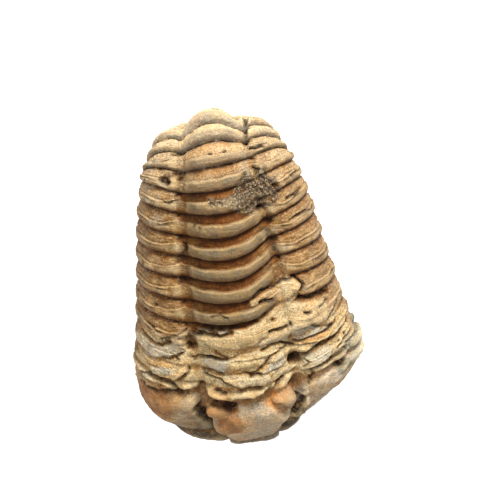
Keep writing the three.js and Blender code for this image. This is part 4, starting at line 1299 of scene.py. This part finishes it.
def head_tone(p):
    """Tan cheeks beside a paler dome, both with grey patches, rust and fine specks: dark ones of
    painted shading in pits, pale ones of painted glints.
    """
    cheek = p.mix(p.times(p.blotch, 0.7), p.patched("ad8b60", "9a7a52"), "8b7f6b")
    dome_patch = p.times(p.noise("dome patches"), 0.62)
    dome = p.mix(dome_patch, p.patched("d2b184", "b8936a"), "958d7c")
    tone = p.mix(p.flank, dome, cheek)
    tone = p.mix(p.times(p.rust, 0.8), tone, p.patched("9c6b3b", "84592e"))
    # Fine dark specks: painted shading in small pits.
    tone = p.mix(p.times(p.noise("head pit shading"), 0.3), tone, "5f4c36")
    # Fine pale specks: painted glints.
    return p.mix(p.times(p.noise("painted head glints"), 0.3), tone, "cdb48f")


def matrix_tone(p):
    """Cream sand with grey and rust plates, white and ochre patches and darker flecks."""
    sand = p.mix(p.grey, p.patched("f8dd9f", "e8c88a"), p.patched("cfc9b7", "b1ac9c"))
    sand = p.mix(p.times(p.rust, 0.8), sand, p.patched("e8ad66", "cf924e"))
    plain = p.spread(p.larger(p.rust, p.grey), 0, 1, 0.6, 0.1)
    sand = p.mix(p.times(p.noise("white sand"), plain), sand, "fbe8b9")
    ochre = p.times(p.noise("ochre sand"), plain)
    sand = p.mix(p.times(ochre, 0.85), sand, "e2a859")
    flecks = p.times(p.noise("sand flecks"), 0.34)
    return p.mix(flecks, sand, p.patched("9a937f", "a8874f"))


def coat_kinds(p, body):
    """The head, chalk with pits, matrix with crumbs, and the belly, each over what is under it."""
    body = p.mix(p.head, body, head_tone(p))
    chalk = p.times(p.grey, p.noise("chalk"))
    body = p.mix(p.times(chalk, 0.85), body, p.by_age_and_light("827b6d", "c6c1b8"))
    # Small dark pits in the chalk: painted shading in pits.
    pits = p.times(p.grey, p.noise("chalk pits"))
    body = p.mix(p.times(pits, 0.75), body, "41352a")
    body = p.mix(p.times(p.matrix, 0.95), body, matrix_tone(p))
    crumbs = p.times(p.matrix, p.noise("crumbs"))
    body = p.mix(p.times(crumbs, 0.4), body, "5a4526")
    return p.mix(p.belly, body, p.mix(p.blotch, p.patched("a8946c", "937b52"), "857c66"))


def coat_edges(p, body, layers):
    """Layer lines on the flanks; pale edges of painted highlight with the creamy matrix; rock; crystals
    with painted glints; painted shading with a stain; and dark lines of painted shading.
    """
    striped = p.times(p.spread(p.flank, 0, 1, 0.12, 0.8), p.spread(p.rock, 0, 1, 1, 0.2))
    body = p.mix(p.times(p.spread(layers, 0.55, 1.0, 0.0, 0.3), striped), body, "4f371c")
    body = p.mix(p.times(p.spread(layers, 0.45, 0.0, 0.0, 0.25), striped), body, "d9c193")
    outer = p.larger(p.flank, p.matrix)
    edge = p.by_age_and_light(p.mix(outer, "6f5d41", "b5986a"), p.mix(outer, "b9a47a", "dcc498"))
    # Pale edges: painted highlight on lips, plate and ledge edges and crack rims, with the creamy torn
    # band and plates in their own colour.
    body = p.mix(p.times(p.pale, p.spread(p.fine, 0, 1, 0.4, 0.95)), body, edge)
    body = p.mix(p.times(p.rock, 0.9), body, p.mix(p.blotch, "a39f8e", "6f6c5d"))
    gems = p.mix(p.noise("crystals"), "2b2017", "5b4938")
    # Pale specks on the crystals: painted glints.
    body = p.mix(p.crystal, body, p.mix(p.spread(p.speck, 0.75, 1), gems, "b7a68c"))
    # Painted shading, and a dark brown stain beside the right axial furrow.
    body = p.mix(p.times(p.shade_and_stain, 0.85), body, "30271f")
    # Dark lines: painted shading in creases, pits, cracks, holes and under plates and ledges.
    return p.mix(p.times(p.dark, 0.95), body, "1f0f05")


def coat_stains(p, body):
    """Specks, ochre and lilac stains, grit and thin winding lines of painted shading in hairline
    cracks.
    """
    body = p.mix(p.spread(p.speck, 0.0, 0.45, 0.4, 0.0), body, "3c2a16")
    stain = p.times(p.noise("ochre stains"), p.spread(p.deep, 0, 0.5, 0.38, 0.15))
    body = p.mix(stain, body, p.by_age_and_light("94702f", "cfa866"))
    lilac = p.times(p.noise("lilac stains"), 0.4)
    lilac = p.times(lilac, p.spread(p.deep, 0, 0.3, 1, 0))
    body = p.mix(lilac, body, p.by_age_and_light("85745c", "a1998a"))
    grit = p.mix(p.noise("grit"), "b2aea7", "ffffff")
    body = p.mix(p.spread(p.head, 0, 1, 1, 0.5), body, grit, "MULTIPLY")
    # Thin winding dark lines: painted shading in hairline cracks.
    from_crack = p.maths("ABSOLUTE", p.maths("SUBTRACT", p.noise("hairline cracks"), 0.5), 0)
    crack_shading = p.times(p.spread(from_crack, 0.0, 0.022, 0.6, 0.0), p.noise("crack stretches"))
    return p.mix(crack_shading, body, "3a2814")


def coat_shade_and_dust(p, body):
    """Painted shading, warm on the head-facing slopes and in hollows and dark deep in the hollows;
    painted highlight on raised rims; grey ring faces toward the tail; chalky dust; painted shading that
    darkens the axis rings away from the tail; and rust on the head.
    """
    # Warm painted shading on the head-facing slopes and in hollows, less toward the tail.
    warm = p.larger(p.times(p.slope, 0.8), p.spread(p.hollow, 0.0, 0.5))
    warm = p.times(warm, p.spread(p.fresh, 0, 1, 0.65, 0.2))
    body = p.mix(warm, body, "ffce8c", "MULTIPLY")
    # Dark painted shading deep in the hollows.
    sunk = p.times(p.hollow, p.spread(p.larger(p.fresh, p.matrix), 0, 1, 0.28, 0.12))
    body = p.mix(sunk, body, "2a1608")
    # Painted highlight on raised rims.
    body = p.mix(p.times(p.rim, p.spread(p.flank, 0, 1, 0.18, 0.22)), body, "d8c193")
    face = p.times(p.spread(p.slope, 0.45, 1), p.spread(p.flank, 0, 1, 0.42, 0.25))
    body = p.mix(p.times(face, p.fresh), body, "8c8473")
    dust = p.times(p.spread(p.fine, 0.7, 1.0, 0.0, 0.2), p.spread(p.deep, 0, 0.3, 1, 0))
    body = p.mix(dust, body, p.by_age_and_light("b09a70", "dcc79a"))
    # Painted shading: the axis rings darker away from the tail.
    shaded_rings = p.maths("SUBTRACT", p.ring, p.maths("ADD", p.flank, p.times(p.fresh, 0.8)))
    body = p.mix(p.spread(shaded_rings, 0, 1), body, "c4c4c4", "MULTIPLY")
    return p.mix(p.times(p.rust, p.head), body, "d4b795", "MULTIPLY")


def fossil_material():
    """Ochre stone: grey rings, brown half rings and creamy matrix, with pale edges of painted highlight
    and dark furrows of painted shading.
    """
    p = StonePaints()
    layers = p.layers()
    body = coat_kinds(p, shell_tone(p))
    body = coat_shade_and_dust(p, coat_stains(p, coat_edges(p, body, layers)))
    p.feed(p.shader.inputs["Base Color"], body)
    bump = p.add("ShaderNodeBump")
    bump.inputs["Strength"].default_value = 1.0
    bump.inputs["Distance"].default_value = BUMP_HEIGHT * MM
    height = p.maths("ADD", p.maths("ADD", p.fine, p.speck), layers)
    crumbly = p.times(p.matrix, p.noise("crumbly relief"))
    p.feed(bump.inputs["Height"], p.maths("ADD", height, p.times(crumbly, 1.4)))
    p.feed(p.shader.inputs["Normal"], bump.outputs["Normal"])
    p.feed(p.shader.inputs["Roughness"], p.spread(p.fine, 0, 1, 0.6, 0.85))
    p.shader.inputs["Specular IOR Level"].default_value = 0.12
    return p.material


# ---- fossil ----
fossil = grid_mesh("trilobite_surface", *fossil_surface())
fossil.data.materials.append(fossil_material())
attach(fossil, "root")
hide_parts("trilobite")

# ---- floor, light, camera ----
FLOOR_SIDE = 3
LIGHTS_AIM = (0, 0, 0.02)
WORLD_LIGHT = 0.38
CAMERA_PLACE = (0.01739, 0.08719, 0.47824)
CAMERA_RIGHT = (0.98914, -0.14696, -0.0024)
CAMERA_UP = (0.1443, 0.9741, -0.1741)
CAMERA_BACK = (0.02792, 0.17186, 0.98473)
CAMERA_LENS = 140.94
SENSOR_WIDTH = 36
# Square area lights: name, place, side, watts, colour.
LIGHTS = [
    ("key", (0.2, 0.46, 0.36), 0.2, 11.8, (1, 0.98, 0.95)),
    ("fill", (-0.25, -0.05, 0.6), 0.5, 4.6, (1, 1, 1)),
    ("front", (0.05, -0.22, 0.5), 0.3, 0.9, (1, 1, 1)),
]


def plain_floor():
    """A square sheet at z = 0."""
    h = FLOOR_SIDE / 2
    mesh = bpy.data.meshes.new("floor")
    mesh.from_pydata([(-h, -h, 0), (h, -h, 0), (h, h, 0), (-h, h, 0)], [], [(0, 1, 2, 3)])
    p = Paints("pale_floor")
    p.feed(p.shader.inputs["Base Color"], p.mix(p.noise("floor"), "fafafa", "fcfcfc"))
    p.shader.inputs["Roughness"].default_value = 0.9
    mesh.materials.append(p.material)
    return add_object("floor", mesh)


def add_lights():
    """Square area lights that face the fossil."""
    for name, place, side, watts, colour in LIGHTS:
        light = bpy.data.lights.new(name, "AREA")
        light.size = side
        light.energy = watts
        light.color = colour
        lamp = add_object(name, light)
        lamp.location = place
        from_aim = Vector(place) - Vector(LIGHTS_AIM)
        lamp.rotation_euler = from_aim.to_track_quat("Z", "Y").to_euler()


def add_camera():
    """Long lens straight above the back, turned a little, tail at the top of the frame."""
    data = bpy.data.cameras.new("camera")
    data.sensor_width = SENSOR_WIDTH
    data.lens = CAMERA_LENS
    data.clip_start = 0.01
    camera = add_object("camera", data)
    turn = Matrix((CAMERA_RIGHT, CAMERA_UP, CAMERA_BACK)).transposed()
    camera.matrix_world = Matrix.Translation(CAMERA_PLACE) @ turn.to_4x4()
    bpy.context.scene.camera = camera


def light_world():
    """Even white light from all sides, shown in plain display colours."""
    world = bpy.data.worlds.new("studio")
    world.use_nodes = True
    sky = world.node_tree.nodes["Background"]
    sky.inputs["Color"].default_value = (1, 1, 1, 1)
    sky.inputs["Strength"].default_value = WORLD_LIGHT
    bpy.context.scene.world = world
    bpy.context.scene.view_settings.view_transform = "Standard"


plain_floor()
add_lights()
light_world()
add_camera()
